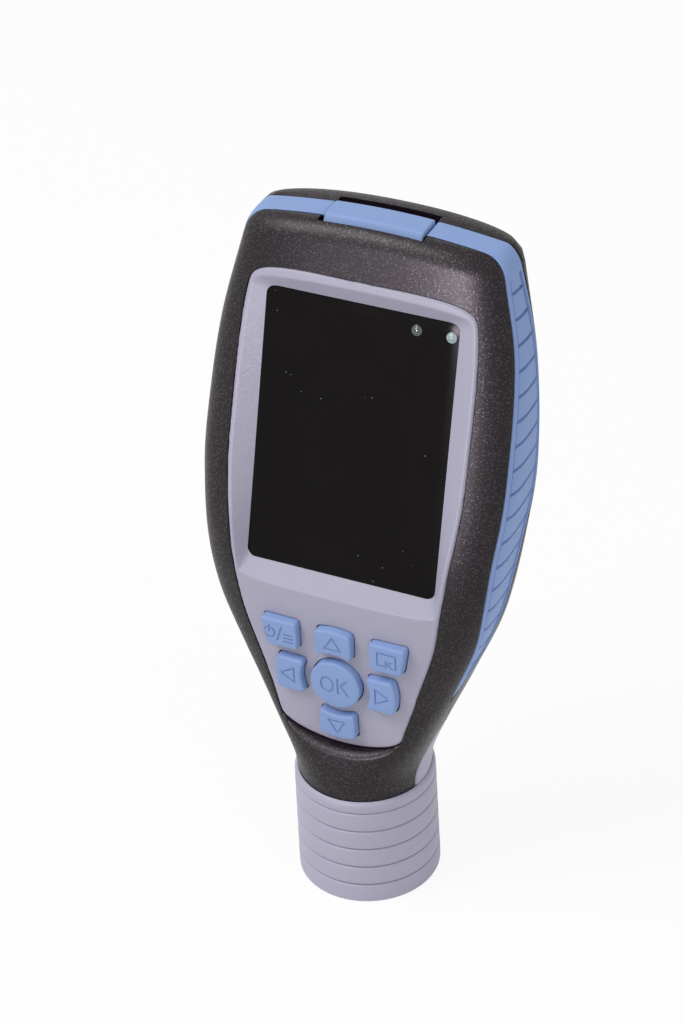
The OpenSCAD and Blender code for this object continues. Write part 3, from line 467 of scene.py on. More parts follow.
def half_shell(front, sides, counts, seam_gap, wall_y):
    """Closed shell from an opening, given as four lines of (x, z), out to the seam, with rolled edges."""
    turn = -1 if front else 1

    def edge_angle(s):
        z, _ = level(s)
        return angle_at(np.minimum(s, SIDE_END), inlay(z, not front) + turn * seam_gap)

    def surface(s, t, d=0.0):
        half = np.pi / 2 - turn * edge_angle(s)
        points = skin(np.minimum(s, SIDE_END), turn * (np.pi / 2 - t * half), d)
        flat = np.clip(s - SIDE_END, 0, 1)
        points[..., 1] = mix(points[..., 1], ROOF[0 if front else 1] + turn * seam_gap, flat)
        return points

    hole = np.concatenate([spread(line, n) for line, n in zip(sides, counts)])
    x, z = hole.T
    k = CROWN * (x / BODY_HALF) ** 2 / CROWN_RUN
    arch_foot = TOP - CROWN_RUN
    s0 = np.where(z > arch_foot, (z - k * arch_foot) / (1 - k), z)
    _, power, width, _ = section(s0, front)
    q = np.clip(np.abs(x) / width, 0, 1)
    angle = np.arctan2((1 - q ** power) ** (1 / power), x / width)
    t0 = (np.pi / 2 - angle) / (np.pi / 2 - turn * edge_angle(s0))
    low, high = SHELL_FOOT, SIDE_END + 1
    rim = [[(low, -1), (low, 1)], [(low, 1), (high, 1)], [(high, 1), (high, -1)], [(high, -1), (low, -1)]]
    s1, t1 = np.concatenate([spread(line, n) for line, n in zip(rim, counts)]).T

    def ring(f, d=0.0):
        return surface(mix(s0, s1, f), mix(t0, t1, f), d)

    mouth = ring(0)
    throat = np.maximum(panel_y(mouth[:, 2]) - mouth[:, 1], 0)
    rows = [np.stack([mouth[:, 0], wall_y(mouth), mouth[:, 2]], -1)]
    # The rolled edge of the opening: share of the way to the seam, drop, and share of the throat's drop.
    for f, dy, part in ((0, 0.42, 0.74), (0, 0.12, 0.66), (0.012, 0, 0.5), (0.03, 0, 0.28), (0.05, 0, 0.12)):
        row = ring(f)
        row[:, 1] -= turn * (dy + part * throat)
        rows.append(row)
    # The outer face, the rounded edge at the seam, and the inner face.
    rows += [ring(f) for f in np.linspace(0.08, 0.985, 26)]
    rows += [ring(0.994, 0.05), ring(1, 0.2), ring(1, 1.2)]
    rows += [ring(f, SHELL_WALL) for f in np.linspace(1, 0.2, 6)]
    return np.array(rows), loops(len(rows), len(x), True)


def prism(outline, y0, y1):
    """Straight cutter along the depth, from an outline of (x, z)."""
    n = len(outline)
    points = [(x, y, z) for y in (y0, y1) for x, z in outline]
    return points, loops(2, n) + [tuple(range(n)), tuple(range(2 * n - 1, n - 1, -1))]


def carve(thing, cutters):
    """Cuts solids out of a piece."""
    for k, (points, faces) in enumerate(cutters):
        tool = solid("cutter", points, faces, thing.data.materials[0])
        step = thing.modifiers.new("cut%d" % k, "BOOLEAN")
        step.operation, step.object, step.solver = "DIFFERENCE", tool, "MANIFOLD"
    tools = [step.object for step in thing.modifiers]
    as_mesh(thing)
    for tool in tools:
        bpy.data.objects.remove(tool, do_unlink=True)
    return thing


def disc(x, z, r, n=40):
    """Outline of a circle."""
    return [(x + r * math.cos(2 * math.pi * k / n), z + r * math.sin(2 * math.pi * k / n)) for k in range(n)]


def rod(outline, x0, x1):
    """Straight cutter along the width, from an outline of (y, z)."""
    points, faces = prism(outline, x0, x1)
    return [(x, y, z) for y, x, z in points], faces


def rear_at(x, z):
    """Depth of the back at a place."""
    z, power, width, reach = section(z, False)
    return wide_y(z) + reach * (1 - np.clip(np.abs(x) / width, 0, 1) ** power) ** (1 / power)


black = moulded("sparkling_black", screen(22, 13, 19), 0.38, grain=2400.0, bump=0.25, shade=0.08,
                specular=0.28, fleck=(screen(140, 118, 150), 2300.0, 0.7, 0.05), glint=0.65)
SEAM_GAP = 0.06
BAY_HALF, BAY_LOW, BAY_HIGH = 15.9, 46.5, 103.0
SCREW_EDGE, SCREW_HEIGHTS = 6.1, (72.0, 128.0)
SCREW_WELL_R, SCREW_WELL, PAST_BACK = 2.4, 0.95, 40.0
GROOVE_R, GROOVE_HALF = 3.3, 11.5
bay = [(-BAY_HALF, BAY_LOW), (BAY_HALF, BAY_LOW), (BAY_HALF, BAY_HIGH), (-BAY_HALF, BAY_HIGH)]
bay_sides = [[bay[k], bay[(k + 1) % 4]] for k in range(4)]
screw_places = [(side * float(half_w(z) - SCREW_EDGE), z) for z in SCREW_HEIGHTS for side in (-1, 1)]
# Depth and height of the port cover's pin.
hinge = (ROOF[1] - 1.3, TOP - 2.4)


def bay_wall(mouth):
    """Depth that the edge round the battery bay reaches in to."""
    return mouth[:, 1] - SHELL_WALL


rear_shell = solid("rear_shell_skin",
                   *half_shell(False, bay_sides, (80, 150, 80, 150), SEAM_GAP, bay_wall), black)
screw_wells = [prism(disc(x, z, SCREW_WELL_R), float(rear_at(x, z)) - SCREW_WELL, PAST_BACK)
               for x, z in screw_places]
groove = [(hinge[0] + GROOVE_R * math.cos(a), hinge[1] + GROOVE_R * math.sin(a))
          for a in np.linspace(-0.5, 0, 8)]
groove += [(hinge[0] + dy, TOP + dz) for dy, dz in ((GROOVE_R, 1.1), (-2.1, 1.1), (-2.1, -3.6))]
carve(rear_shell, screw_wells + [rod(groove, -GROOVE_HALF, GROOVE_HALF)])
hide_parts("rear_shell")
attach(rear_shell, "housing")


# Battery cover
# A plain plate of the same black plastic over the cells, moulded flush with the back. One screw
# holds its upper end, and three short slots near its lower end give the thumb a grip.

def slab(outer, inner):
    """Closed solid between two grids of points with equal counts."""
    rows, n = outer.shape[:2]
    m = rows * n
    faces = []
    for base in (0, m):
        faces += [(base + i * n + j, base + i * n + j + 1, base + (i + 1) * n + j + 1, base + (i + 1) * n + j)
                  for i in range(rows - 1) for j in range(n - 1)]
    edge = ([j for j in range(n)] + [i * n + n - 1 for i in range(1, rows)]
            + [(rows - 1) * n + j for j in range(n - 2, -1, -1)] + [i * n for i in range(rows - 2, 0, -1)])
    faces += [(a, b, b + m, a + m) for a, b in zip(edge, edge[1:] + edge[:1])]
    return np.concatenate([outer.reshape(-1, 3), inner.reshape(-1, 3)]), faces


def lip(distance, r):
    """Drop of a rounded edge of radius r at a distance from the edge."""
    return r - np.sqrt(np.maximum(r * r - np.maximum(r - distance, 0) ** 2, 0))


def edged(length, n, fine=(0.0, 0.08, 0.2, 0.4)):
    """Places along a length, close together at both ends."""
    fine = np.array(fine)
    return np.concatenate([fine, np.linspace(fine[-1], length - fine[-1], n)[1:-1], (length - fine)[::-1]])


def bar(across, up, half, half_high):
    """Outline of a rectangle about a place."""
    return [(across + sx * half, up + sz * half_high) for sx, sz in ((-1, -1), (1, -1), (1, 1), (-1, 1))]


PLATE_GAP, PLATE_EDGE, PLATE_WALL = 0.15, 0.4, 1.7
PLATE_SCREW_Z, PLATE_WELL = 99.5, 1.0
SLOT_HALF, SLOT_HALF_H, SLOT_DEPTH, SLOT_HEIGHTS = 5.0, 0.35, 0.45, (54.0, 56.2, 58.4)
plate_half, plate_low, plate_high = BAY_HALF - PLATE_GAP, BAY_LOW + PLATE_GAP, BAY_HIGH - PLATE_GAP
x, z = np.meshgrid(edged(2 * plate_half, 40) - plate_half, edged(plate_high - plate_low, 60) + plate_low)
drop = lip(np.minimum(plate_half - np.abs(x), np.minimum(z - plate_low, plate_high - z)), PLATE_EDGE)
battery_cover = solid("battery_cover_plate", *slab(np.stack([x, rear_at(x, z) - drop, z], -1),
                                                   np.stack([x, rear_at(x, z) - PLATE_WALL, z], -1)), black)
plate_well = prism(disc(0, PLATE_SCREW_Z, SCREW_WELL_R),
                   float(rear_at(0.0, PLATE_SCREW_Z)) - PLATE_WELL, PAST_BACK)
slots = [prism(bar(0, c, SLOT_HALF, SLOT_HALF_H), float(rear_at(0.0, c)) - SLOT_DEPTH, PAST_BACK)
         for c in SLOT_HEIGHTS]
carve(battery_cover, [plate_well] + slots)
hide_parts("battery_cover")
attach(battery_cover, "housing")


# Screws
# Five small plated steel screws with cross heads, driven from the back into round wells: four
# hold the shells together, and one the battery cover.

def screw_set():
    """Geometry nodes: the screw that comes in, set at every point of the places object."""
    tree, sockets, start = geometry_tree("screws_at_places", ("Places", "Object"), ("Size", "Float"))
    where, put = tree.nodes.new("GeometryNodeObjectInfo"), tree.nodes.new("GeometryNodeInstanceOnPoints")
    join(tree,
         (start.outputs["Places"], where.inputs["Object"]), (where.outputs["Geometry"], put.inputs["Points"]),
         (start.outputs["Geometry"], put.inputs["Instance"]), (start.outputs["Size"], put.inputs["Scale"]))
    painted(tree, start, put.outputs[0])
    return tree, sockets


steel = moulded("plated_steel", screen(150, 150, 155), 0.34, grain=3500.0, bump=0.05, metallic=1.0)
# Section of a screw in (radius, height), from the end of its shank to the rounded head.
screw_profile = [(0.001, -5.0), (1.0, -5.0), (1.05, -4.8), (1.05, -1.3), (2.1, -1.3), (2.1, -0.4),
                 (1.95, -0.15), (1.5, 0.0), (0.001, 0.02)]
CROSS_HALF, CROSS_HALF_W, CROSS_DEPTH = 1.15, 0.24, 0.6
HEAD_DEPTH, PLATE_HEAD_DEPTH = 0.9, 0.25
points, faces = turned(screw_profile, 40)
points = [[(px, pz, py) for px, py, pz in row] for row in points]
screws = solid("back_screws", points, faces, steel)
carve(screws, [prism(bar(0, 0, a, b), -CROSS_DEPTH, 1.0)
               for a, b in ((CROSS_HALF, CROSS_HALF_W), (CROSS_HALF_W, CROSS_HALF))])
heads = [(px, pz, HEAD_DEPTH) for px, pz in screw_places] + [(0.0, PLATE_SCREW_Z, PLATE_HEAD_DEPTH)]
head_points = bpy.data.meshes.new("screw_places")
head_points.from_pydata([(px * MM, (float(rear_at(px, pz)) - deep) * MM, pz * MM)
                         for px, pz, deep in heads], [], [])
places = bpy.data.objects.new("screw_places", head_points)
scene.collection.objects.link(places)
grown(screws, *screw_set(), {"Places": places, "Size": 1.0, "Material": steel})
bpy.data.objects.remove(places, do_unlink=True)
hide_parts("housing_screws", "cover_screw")
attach(screws, "housing")


# Front shell
# The front half of the housing in the same black plastic, with a wide opening for the grey panel,
# a deep ledge below it at the throat, and a finger notch in the roof before the port cover.

# Space from the panel's edge to the side, by the share of the way from neck to top.
SPACE = [[0.1, 5], [0.25, 7.5], [0.42, 9.2], [0.69, 8.5], [0.9, 6.5]]
# The panel's lower and upper end, and the heights over which its outline rounds off there.
PANEL, PANEL_FOOT, PANEL_CAP = (40.6, 146.3), 5, 7


def panel_half(z, gap=0.0):
    """Half width of the panel's outline at a height."""
    t0 = np.clip((z - PANEL[0] + gap) / PANEL_FOOT, 0, 1)
    t1 = np.clip((PANEL[1] + gap - z) / PANEL_CAP, 0, 1)
    return ((half_w(z) - spline(SPACE, share(z)) + gap) * np.sqrt(1 - (1 - t0) ** 2)
            * (1 - (1 - t1) ** 4) ** 0.25)


def panel_sides(gap):
    """The panel's outline, a gap wider all round: foot, right side, cap and left side."""
    low, high = PANEL[0] - gap, PANEL[1] + gap
    steps = 1 - np.cos(np.linspace(0, np.pi / 2, 400))
    foot, cap = low + PANEL_FOOT * steps, high - PANEL_CAP * steps
    side = np.linspace(low + PANEL_FOOT, high - PANEL_CAP, 400)
    right = [np.stack([panel_half(v, gap), v], -1) for v in (foot, side, cap[::-1])]
    left = [line * (-1, 1) for line in right]
    return [np.concatenate([left[0][::-1], right[0]]), right[1], np.concatenate([right[2], left[2][::-1]]),
            left[1][::-1]]


def panel_wall(mouth):
    """Depth that the edge round the panel reaches down to."""
    return np.maximum(mouth[:, 1] + 1.8, panel_y(mouth[:, 2]) + 1.2)


PANEL_GAP, NOTCH_FRONT, NOTCH_HALF = 0.12, 2.15, 12.0
opening = panel_sides(PANEL_GAP)
front_shell = solid("front_shell_skin",
                    *half_shell(True, opening, (90, 170, 90, 170), SEAM_GAP, panel_wall), black)
notch = [(ROOF[0] - NOTCH_FRONT + dy, TOP + dz)
         for dy, dz in ((0, -3.5), (0.2, -3.7), (4.0, -3.7), (4.0, 2.6), (0, 2.6))]
carve(front_shell, [rod(notch, -NOTCH_HALF, NOTCH_HALF)])
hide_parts("front_shell")
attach(front_shell, "housing")


# Side tongues
# Grey leaf-shaped plates on both sides of the neck, moulded in the skirt's satin plastic. They are
# let into the seam between the shells and rise from the skirt to a point.

# Distances from a strip's edges at which its grid has lines.
EDGE_STEPS = (0.0, 0.06, 0.15, 0.3, 0.55, 0.8, 0.95, 1.1, 1.25, 1.4, 1.55, 1.75)


def strip_grid(side, s, edge_gap, inner, front_lip, rear_lip, n):
    """Outer and inner grid of a strip in the seam, with distances from its front edge and its widths."""
    z, _ = level(s)
    y0, y1 = inlay(z, False) + edge_gap, inlay(z, True) - edge_gap
    width = np.maximum(y1 - y0, 0.02)
    base = np.maximum(width, 3.0)
    across = np.array([edged(b, n, EDGE_STEPS) for b in base]) * (width / base)[:, None]
    y, s = y0[:, None] + across, np.broadcast_to(s[:, None], across.shape)
    drop = np.maximum(lip(across, front_lip), lip(width[:, None] - across, rear_lip))
    angle = angle_at(s, y)
    outer, under = skin(s, angle, drop), skin(s, angle, inner)
    for grid in (outer, under):
        grid[..., 0] *= side
    return outer, under, across, width


SIDES = ((-1, "left"), (1, "right"))
POINT_RUN = 2
for side, name in SIDES:
    rows = np.concatenate([np.linspace(SHELL_FOOT, TONGUE_TIP - POINT_RUN, 54),
                           TONGUE_TIP - np.geomspace(POINT_RUN, 0.02, 26)[1:]])
    outer, under, _, _ = strip_grid(side, rows, edge_gap=0.08, inner=1.35, front_lip=0.9, rear_lip=0.35, n=24)
    tongue = solid(name + "_tongue_leaf", *slab(outer, under), grey)
    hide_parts(name + "_tongue")
    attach(tongue, "housing")


# Grip bands
# Soft blue plastic inlays between the shells. They run up both sides, with ribs for the fingers
# inside a raised rim, round the top corners, and along the roof to the port cover.

def rib_field():
    """Geometry nodes: sinks a band's field below its rims and parts it into ribs by thin grooves."""
    tree, sockets, start = geometry_tree("grooved_ribs", ("Pitch", "Float"), ("Field depth", "Float"),
                                         ("Groove depth", "Float"))

    def kept(name):
        """What the mesh holds under a name."""
        node = tree.nodes.new("GeometryNodeInputNamedAttribute")
        node.data_type = "FLOAT"
        node.inputs["Name"].default_value = name
        return node.outputs["Attribute"]

    def sum_of(operation, a, b):
        """Result of a sum with two values or sockets."""
        node = sum_node(tree, operation)
        for socket, value in zip(node.inputs, (a, b)):
            if isinstance(value, float):
                socket.default_value = value
            else:
                join(tree, (value, socket))
        return node.outputs[0]

    phase = sum_of("FRACT", sum_of("DIVIDE", kept("along"), start.outputs["Pitch"]), 0.0)
    ramp = tree.nodes.new("ShaderNodeMapRange")
    ramp.interpolation_type = "SMOOTHSTEP"
    for key, value in (("From Min", 0.06), ("From Max", 0.13), ("To Min", 1.0), ("To Max", 0.0)):
        ramp.inputs[key].default_value = value
    join(tree, (phase, ramp.inputs["Value"]))
    depth = sum_of("ADD", start.outputs["Field depth"],
                   sum_of("MULTIPLY", ramp.outputs["Result"], start.outputs["Groove depth"]))
    depth = sum_of("MULTIPLY", sum_of("MULTIPLY", depth, kept("field")), -1.0)
    normal, move = tree.nodes.new("GeometryNodeInputNormal"), tree.nodes.new("GeometryNodeSetPosition")
    push = sum_node(tree, "SCALE", kind="ShaderNodeVectorMath")
    join(tree,
         (normal.outputs[0], push.inputs[0]), (depth, push.inputs["Scale"]),
         (start.outputs["Geometry"], move.inputs["Geometry"]), (push.outputs[0], move.inputs["Offset"]))
    painted(tree, start, move.outputs[0])
    return tree, sockets


blue = moulded("soft_blue", screen(128, 152, 199), 0.5, grain=2400.0, bump=0.1, shade=0.04, specular=0.25)
ribs = rib_field()
BAND_WALL, BAND_EDGE, BAND_END, BAND_END_EDGE = 1.3, 0.3, 11.55, 0.25
# The ribbed field: widths of the rims before and behind it, its lower and upper end, and how its ribs run.
FRONT_RIM, REAR_RIM, FIELD_LOW, FIELD_HIGH = 1.15, 0.8, 60.5, 151.9
RIM_LINE, RIB_START, RIB_SLANT, RIB_BOW = 1.3, 2.0, 0.24, 0.018
for side, name in SIDES:
    rows = np.concatenate([np.linspace(BAND_FOOT + 0.5, 60, 10), np.arange(60.2, TOP - 4.3, 0.17),
                           np.linspace(TOP - 4.2, SIDE_END, 18)])
    outer, under, across, width = strip_grid(side, rows, edge_gap=0.05, inner=BAND_WALL, front_lip=0.35,
                                             rear_lip=BAND_EDGE, n=34)
    # Along the roof the last row runs on to the port cover.
    reach = 1 - np.linspace(0, 1, 24)[1:, None]
    flats = []
    for grid, drop in ((outer, 0.0), (under, BAND_WALL)):
        x = side * BAND_END + (grid[-1, :, 0] - side * BAND_END) * reach
        y = np.broadcast_to(grid[-1, :, 1], x.shape)
        edge = lip(np.minimum(across[-1], width[-1] - across[-1]), BAND_EDGE)[None, :] if drop == 0 else drop
        end_drop = lip(np.abs(x) - BAND_END, BAND_END_EDGE) if drop == 0 else 0
        z = TOP - np.maximum(edge, end_drop)
        flats.append(np.concatenate([grid, np.stack([x, y, z - sink(x, z)], -1)]))
    # Where the field lies, deeper in a line along each rim, and the way along the band that parts the ribs.
    up, rear = rows[:, None], width[:, None] - across
    field = (smooth((across - FRONT_RIM) / 0.15) * smooth((rear - REAR_RIM) / 0.15)
             * smooth((up - FIELD_LOW) / 2.0) * smooth((FIELD_HIGH - up) / 0.4))
    front_line, rear_line = smooth((FRONT_RIM + 0.6 - across) / 0.3), smooth((REAR_RIM + 0.6 - rear) / 0.3)
    field = field * (1 + RIM_LINE * front_line + RIM_LINE * rear_line)
    along = up - RIB_START + RIB_SLANT * across - RIB_BOW * across ** 2
    band = bpy.data.objects.new(name + "_band_skin", bpy.data.meshes.new(name + "_band_skin"))
    scene.collection.objects.link(band)
    points, faces = slab(*flats)
    band.data.from_pydata((points * MM).tolist(), [], faces)
    for key, values in (("along", along), ("field", field)):
        at_points = np.zeros(points.shape[0])
        at_points[:values.size] = values.ravel()
        band.data.attributes.new(key, "FLOAT", "POINT").data.foreach_set("value", at_points)
    work = bmesh.new()
    work.from_mesh(band.data)
    bmesh.ops.recalc_face_normals(work, faces=work.faces)
    work.to_mesh(band.data)
    work.free()
    band.data.materials.append(blue)
    grown(band, *ribs, {"Pitch": 5.25, "Field depth": 0.0003, "Groove depth": 0.0006, "Material": blue})
    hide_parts(name + "_grip_band")
    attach(band, "housing")


# Front panel
# The pearl grey panel that frames the display and the keys, one moulding snapped into the front
# shell. A slanted well leads down to the glass, with a broad bevel below it.

# The glass: its lean, the depth and height of its middle, and half of what the well shows of it.
GLASS_LEAN, GLASS_Y, GLASS_Z = math.radians(16.5), 1.42, 112.2
GLASS_HALF, GLASS_HALF_H = 22, 30.2
KEY_Z, KEY_GAP = 57.8, 0.25


def glass_plane(z):
    """Depth of the glass at a height."""
    return GLASS_Y + (z - GLASS_Z) * math.tan(GLASS_LEAN)


def front_at(x, z):
    """Depth of the body's front at a place."""
    z, power, width, reach = section(z, True)
    return wide_y(z) - reach * (1 - np.clip(np.abs(x) / width, 0, 1) ** power) ** (1 / power)


def panel_face(x, z):
    """Depth of the panel beside its well."""
    return np.maximum(front_at(x, z + sink(x, z)), panel_y(z))


def soft_max(a, b, r):
    """The larger of two heights, rounded over r where they meet."""
    return np.maximum(a, b) + np.maximum(r - np.abs(a - b), 0) ** 2 / (4 * r)


def eased(p, corner, q, steps):
    """Points of the curve from p to q that is drawn towards a corner."""
    return [(1 - u) ** 2 * p + 2 * u * (1 - u) * corner + u ** 2 * q for u in steps]


def arrow_outline(grow):
    """Upper arrow key: hollow towards the round key, bowed outwards, with rounded corners."""
    r, h, f, top = 8.2 - grow, 4.15 + grow, 0.8 + grow, 14.4 + grow
    cx = 1.015 * h - f
    cy = math.sqrt((r + f) ** 2 - cx * cx)
    a = math.atan2(cy, cx)
    hollow = [(r * math.cos(t), r * math.sin(t)) for t in np.linspace(math.pi - a, a, 31)]
    tip = [(cx + f * math.cos(t), cy + f * math.sin(t)) for t in np.linspace(a - math.pi, 0, 10)[1:]]
    bow = [(1.04 * h * u, top - 0.7 * u * u) for u in np.linspace(0.78, -0.78, 25)]
    p, q = np.array((1.035 * h, top - 1.7)), np.array((1.04 * h, top - 0.7))
    side = tip + [tuple(v) for v in eased(p, q, np.array(bow[0]), np.linspace(0, 1, 8)[:-1])]
    return hollow + side + bow + [(-px, py) for px, py in side[::-1]]


def corner_outline(grow, side):
    """Corner key above an arrow key, slanted on its outer side."""
    x0, x1, y0, y1 = 8.6 - grow, 17.2 + grow, 6.9 - grow, 13.9 + grow
    points = [(x0, y0), (x1 - 1.3, y0), (x1, y1), (x0, y1)]
    return points if side > 0 else [(-px, py) for px, py in points[::-1]]


def rounded(points, r, n=7):
    """Rounds the sharp corners of an outline, with n points in each."""
    points = np.array(points)
    result = []
    for before, here, after in zip(np.roll(points, 1, 0), points, np.roll(points, -1, 0)):
        a, b = before - here, after - here
        a, b = a / np.linalg.norm(a), b / np.linalg.norm(b)
        opening = math.acos(np.clip(a @ b, -1, 1))
        if opening > math.radians(150):
            result.append(here)
            continue
        cut = r / math.tan(opening / 2)
        result += eased(here + a * cut, here, here + b * cut, np.linspace(0, 1, n))
    return np.array(result)


def turned_by(points, turn):
    """Points turned about the round key by quarters."""
    c, s = math.cos(turn * math.pi / 2), math.sin(turn * math.pi / 2)
    return [(c * px - s * py, s * px + c * py) for px, py in points]


ARROWS = ("up", "left", "down", "right")
KEYS = ("ok", "up", "down", "left", "right", "power", "return")


def key_outline(name, grow):
    """Outline of a key about the round one, a little larger by grow."""
    if name == "ok":
        return np.array(disc(0, 0, 5.9 + grow, 72))
    if name in ("power", "return"):
        return rounded(corner_outline(grow, 1 if name == "return" else -1), 0.9 + grow)
    return np.array(turned_by(arrow_outline(grow), ARROWS.index(name)))


# Rows and columns of the panel's face, closer together at its edges and at the foot of the bevel.
BEVEL_FOOT, BEVEL_END, COLUMNS = 77.8, 81.7, 111
rows = mix(PANEL[0], PANEL[1], (1 - np.cos(np.linspace(0, np.pi, 241))) / 2)
rows = np.concatenate([rows[rows < BEVEL_FOOT], np.arange(BEVEL_FOOT + 0.1, BEVEL_END - 0.1, 0.09),
                       rows[rows > BEVEL_END]])
z = np.repeat(rows[:, None], COLUMNS, axis=1)
half = panel_half(z)
x = half * np.sin(np.linspace(-np.pi / 2, np.pi / 2, COLUMNS))[None, :]
# Heights above the glass: the face beside the well, and the well's walls.
RIM_W, WELL_ROUND, WELL_FLOOR, RIM_ROUND = 0.9, 0.9, -0.9, 0.18
TOP_SLOPE, BEVEL_SLOPE = 0.62, 0.55
rim = glass_plane(z) - panel_face(x, z)
edge_x = np.maximum(half - RIM_W, 0)
run = np.maximum(edge_x - GLASS_HALF, 0.5)
side_wall = (glass_plane(z) - panel_face(edge_x, z)) * (np.abs(x) - GLASS_HALF) / run
glass_rise = GLASS_HALF_H * math.cos(GLASS_LEAN)
top_wall = TOP_SLOPE * (z - GLASS_Z - glass_rise)
foot_wall = BEVEL_SLOPE * (GLASS_Z - glass_rise - z)
well = np.maximum(soft_max(soft_max(side_wall, top_wall, WELL_ROUND), foot_wall, WELL_ROUND), WELL_FLOOR)
height = -soft_max(-rim, -well, RIM_ROUND)
outline = np.concatenate(panel_sides(0.0))
near = KDTree(len(outline))
for k, (px, pz) in enumerate(outline):
    near.insert((px, pz, 0), k)
near.balance()
gap_to_edge = np.array([near.find((px, pz, 0))[2] for px, pz in zip(x.ravel(), z.ravel())]).reshape(x.shape)
PANEL_EDGE, PANEL_WALL, WELL_WALL = 0.6, 2, 1.0
face = glass_plane(z) - height + lip(gap_to_edge, PANEL_EDGE)
back = np.maximum(panel_y(z) + PANEL_WALL, face + WELL_WALL)
pearl = moulded("pearl_grey", screen(161, 159, 177), 0.44, grain=2000.0, bump=0.1, shade=0.03, specular=0.25,
                fleck=(screen(236, 236, 240), 4600.0, 0.35, 0.1), glint=0.3)
panel = solid("front_panel_face", *slab(np.stack([x, face, z], -1), np.stack([x, back, z], -1)), pearl)
HOLE_FRONT, HOLE_BACK = -16.0, 2.0
carve(panel, [prism(key_outline(name, KEY_GAP) + (0, KEY_Z), HOLE_FRONT, HOLE_BACK) for name in KEYS])
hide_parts("front_panel")
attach(panel, "housing")


# Display glass and status lenses
# A black-backed window of hard plastic, dark while the gauge is off, and two small clear lenses
# of status lights, set in its upper right corner.

def on_glass(px, u, w):
    """Points at u up the glass from its middle and w above it."""
    c, s = math.cos(GLASS_LEAN), math.sin(GLASS_LEAN)
    return np.stack([px, GLASS_Y + u * s - w * c, GLASS_Z + u * c + w * s], -1)


def round_rect(w, h, r, n=9):
    """Outline of a rectangle with rounded corners."""
    points = []
    for k, (sx, sy) in enumerate(((1, 1), (-1, 1), (-1, -1), (1, -1))):
        for a in np.linspace(k * np.pi / 2, (k + 1) * np.pi / 2, n):
            points.append((sx * (w / 2 - r) + r * math.cos(a), sy * (h / 2 - r) + r * math.sin(a)))
    return np.array(points)


def stacked(rings):
    """Points and faces of a solid from rings of points, closed at both ends."""
    count, n = len(rings), len(rings[0])
    ends = [tuple(range(n)), tuple(range((count - 1) * n, count * n))]
    return np.array(rings), loops(count, n) + ends


gloss_black = moulded("display_black", screen(15, 12, 12), 0.16, grain=900.0, bump=0.0, shade=0.06,
                      specular=0.07, fleck=(screen(150, 152, 158), 2600.0, 0.0012, 0.6))
UNDER_EDGE, WINDOW_R = 0.35, 3.2
window_w, window_h = 2 * (GLASS_HALF + UNDER_EDGE), 2 * (GLASS_HALF_H + UNDER_EDGE)
rings = []
for inset, w in ((0.0, -1.1), (0.0, -0.1), (0.04, -0.03), (0.12, 0.0), (3.0, 0.0)):
    flat = round_rect(window_w - 2 * inset, window_h - 2 * inset, WINDOW_R - min(inset, 2.0))
    rings.append(on_glass(flat[:, 0], flat[:, 1], np.full(len(flat), w)))
glass = solid("display_glass", *stacked(rings), gloss_black)
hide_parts("display_window")
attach(glass, "housing")
# Section of a lens in (radius, height above the glass): rim, flat and dome.
LENS_U, LENS_STEPS = 27.0, 28
lens_profile = ((1.15, -0.4), (1.15, 0.04), (1.05, 0.1), (0.8, 0.1), (0.74, 0.14), (0.6, 0.3), (0.38, 0.42),
                (0.15, 0.47))
for px, name, tone in ((12.5, "left", screen(52, 64, 68)), (20.3, "right", screen(140, 160, 166))):
    lens_clear = moulded(name + "_clear_lens", tone, 0.1, grain=1500.0, bump=0.03, shade=0.35, coat=1.0)
    rings = []
    for r, w in lens_profile:
        flat = np.array(disc(0, 0, r, LENS_STEPS))
        rings.append(on_glass(px + flat[:, 0], LENS_U + flat[:, 1], np.full(len(flat), w)))
    lens = solid(name + "_lens_dome", *stacked(rings), lens_clear)
    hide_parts(name + "_status_lens")
    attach(lens, "housing")


# Keys
# Seven hard blue plastic keys on a rubber mat, moulded with a rounded top edge. Each has a plain
# sign engraved with a thin tool: hollow arrowheads, two letters, on and off with a list, a way back.

def inward(outline, d):
    """An outline moved in by d along its own normals."""
    tangent = np.roll(outline, -1, 0) - np.roll(outline, 1, 0)
    tangent /= np.linalg.norm(tangent, axis=1)[:, None]
    return outline + d * np.stack([-tangent[:, 1], tangent[:, 0]], -1)


def stroke(line, width=0.42, closed=False):
    """Outlines of one engraved stroke: each leg as a bar with round ends."""
    line = [np.array(p, float) for p in line]
    legs = zip(line, line[1:] + (line[:1] if closed else []))
    outlines = []
    for a, b in legs:
        turns = math.atan2(b[1] - a[1], b[0] - a[0]) + np.linspace(-1.5708, 1.5708, 7)
        end = width / 2 * np.stack([np.cos(turns), np.sin(turns)], -1)
        outlines.append(np.concatenate([b + end, a - end]))
    return outlines


def arc(cx, cy, r, a0, a1, n):
    """Line of n points along an arc, from angle to angle in degrees."""
    return [(cx + r * math.cos(t), cy + r * math.sin(t)) for t in np.radians(np.linspace(a0, a1, n))]


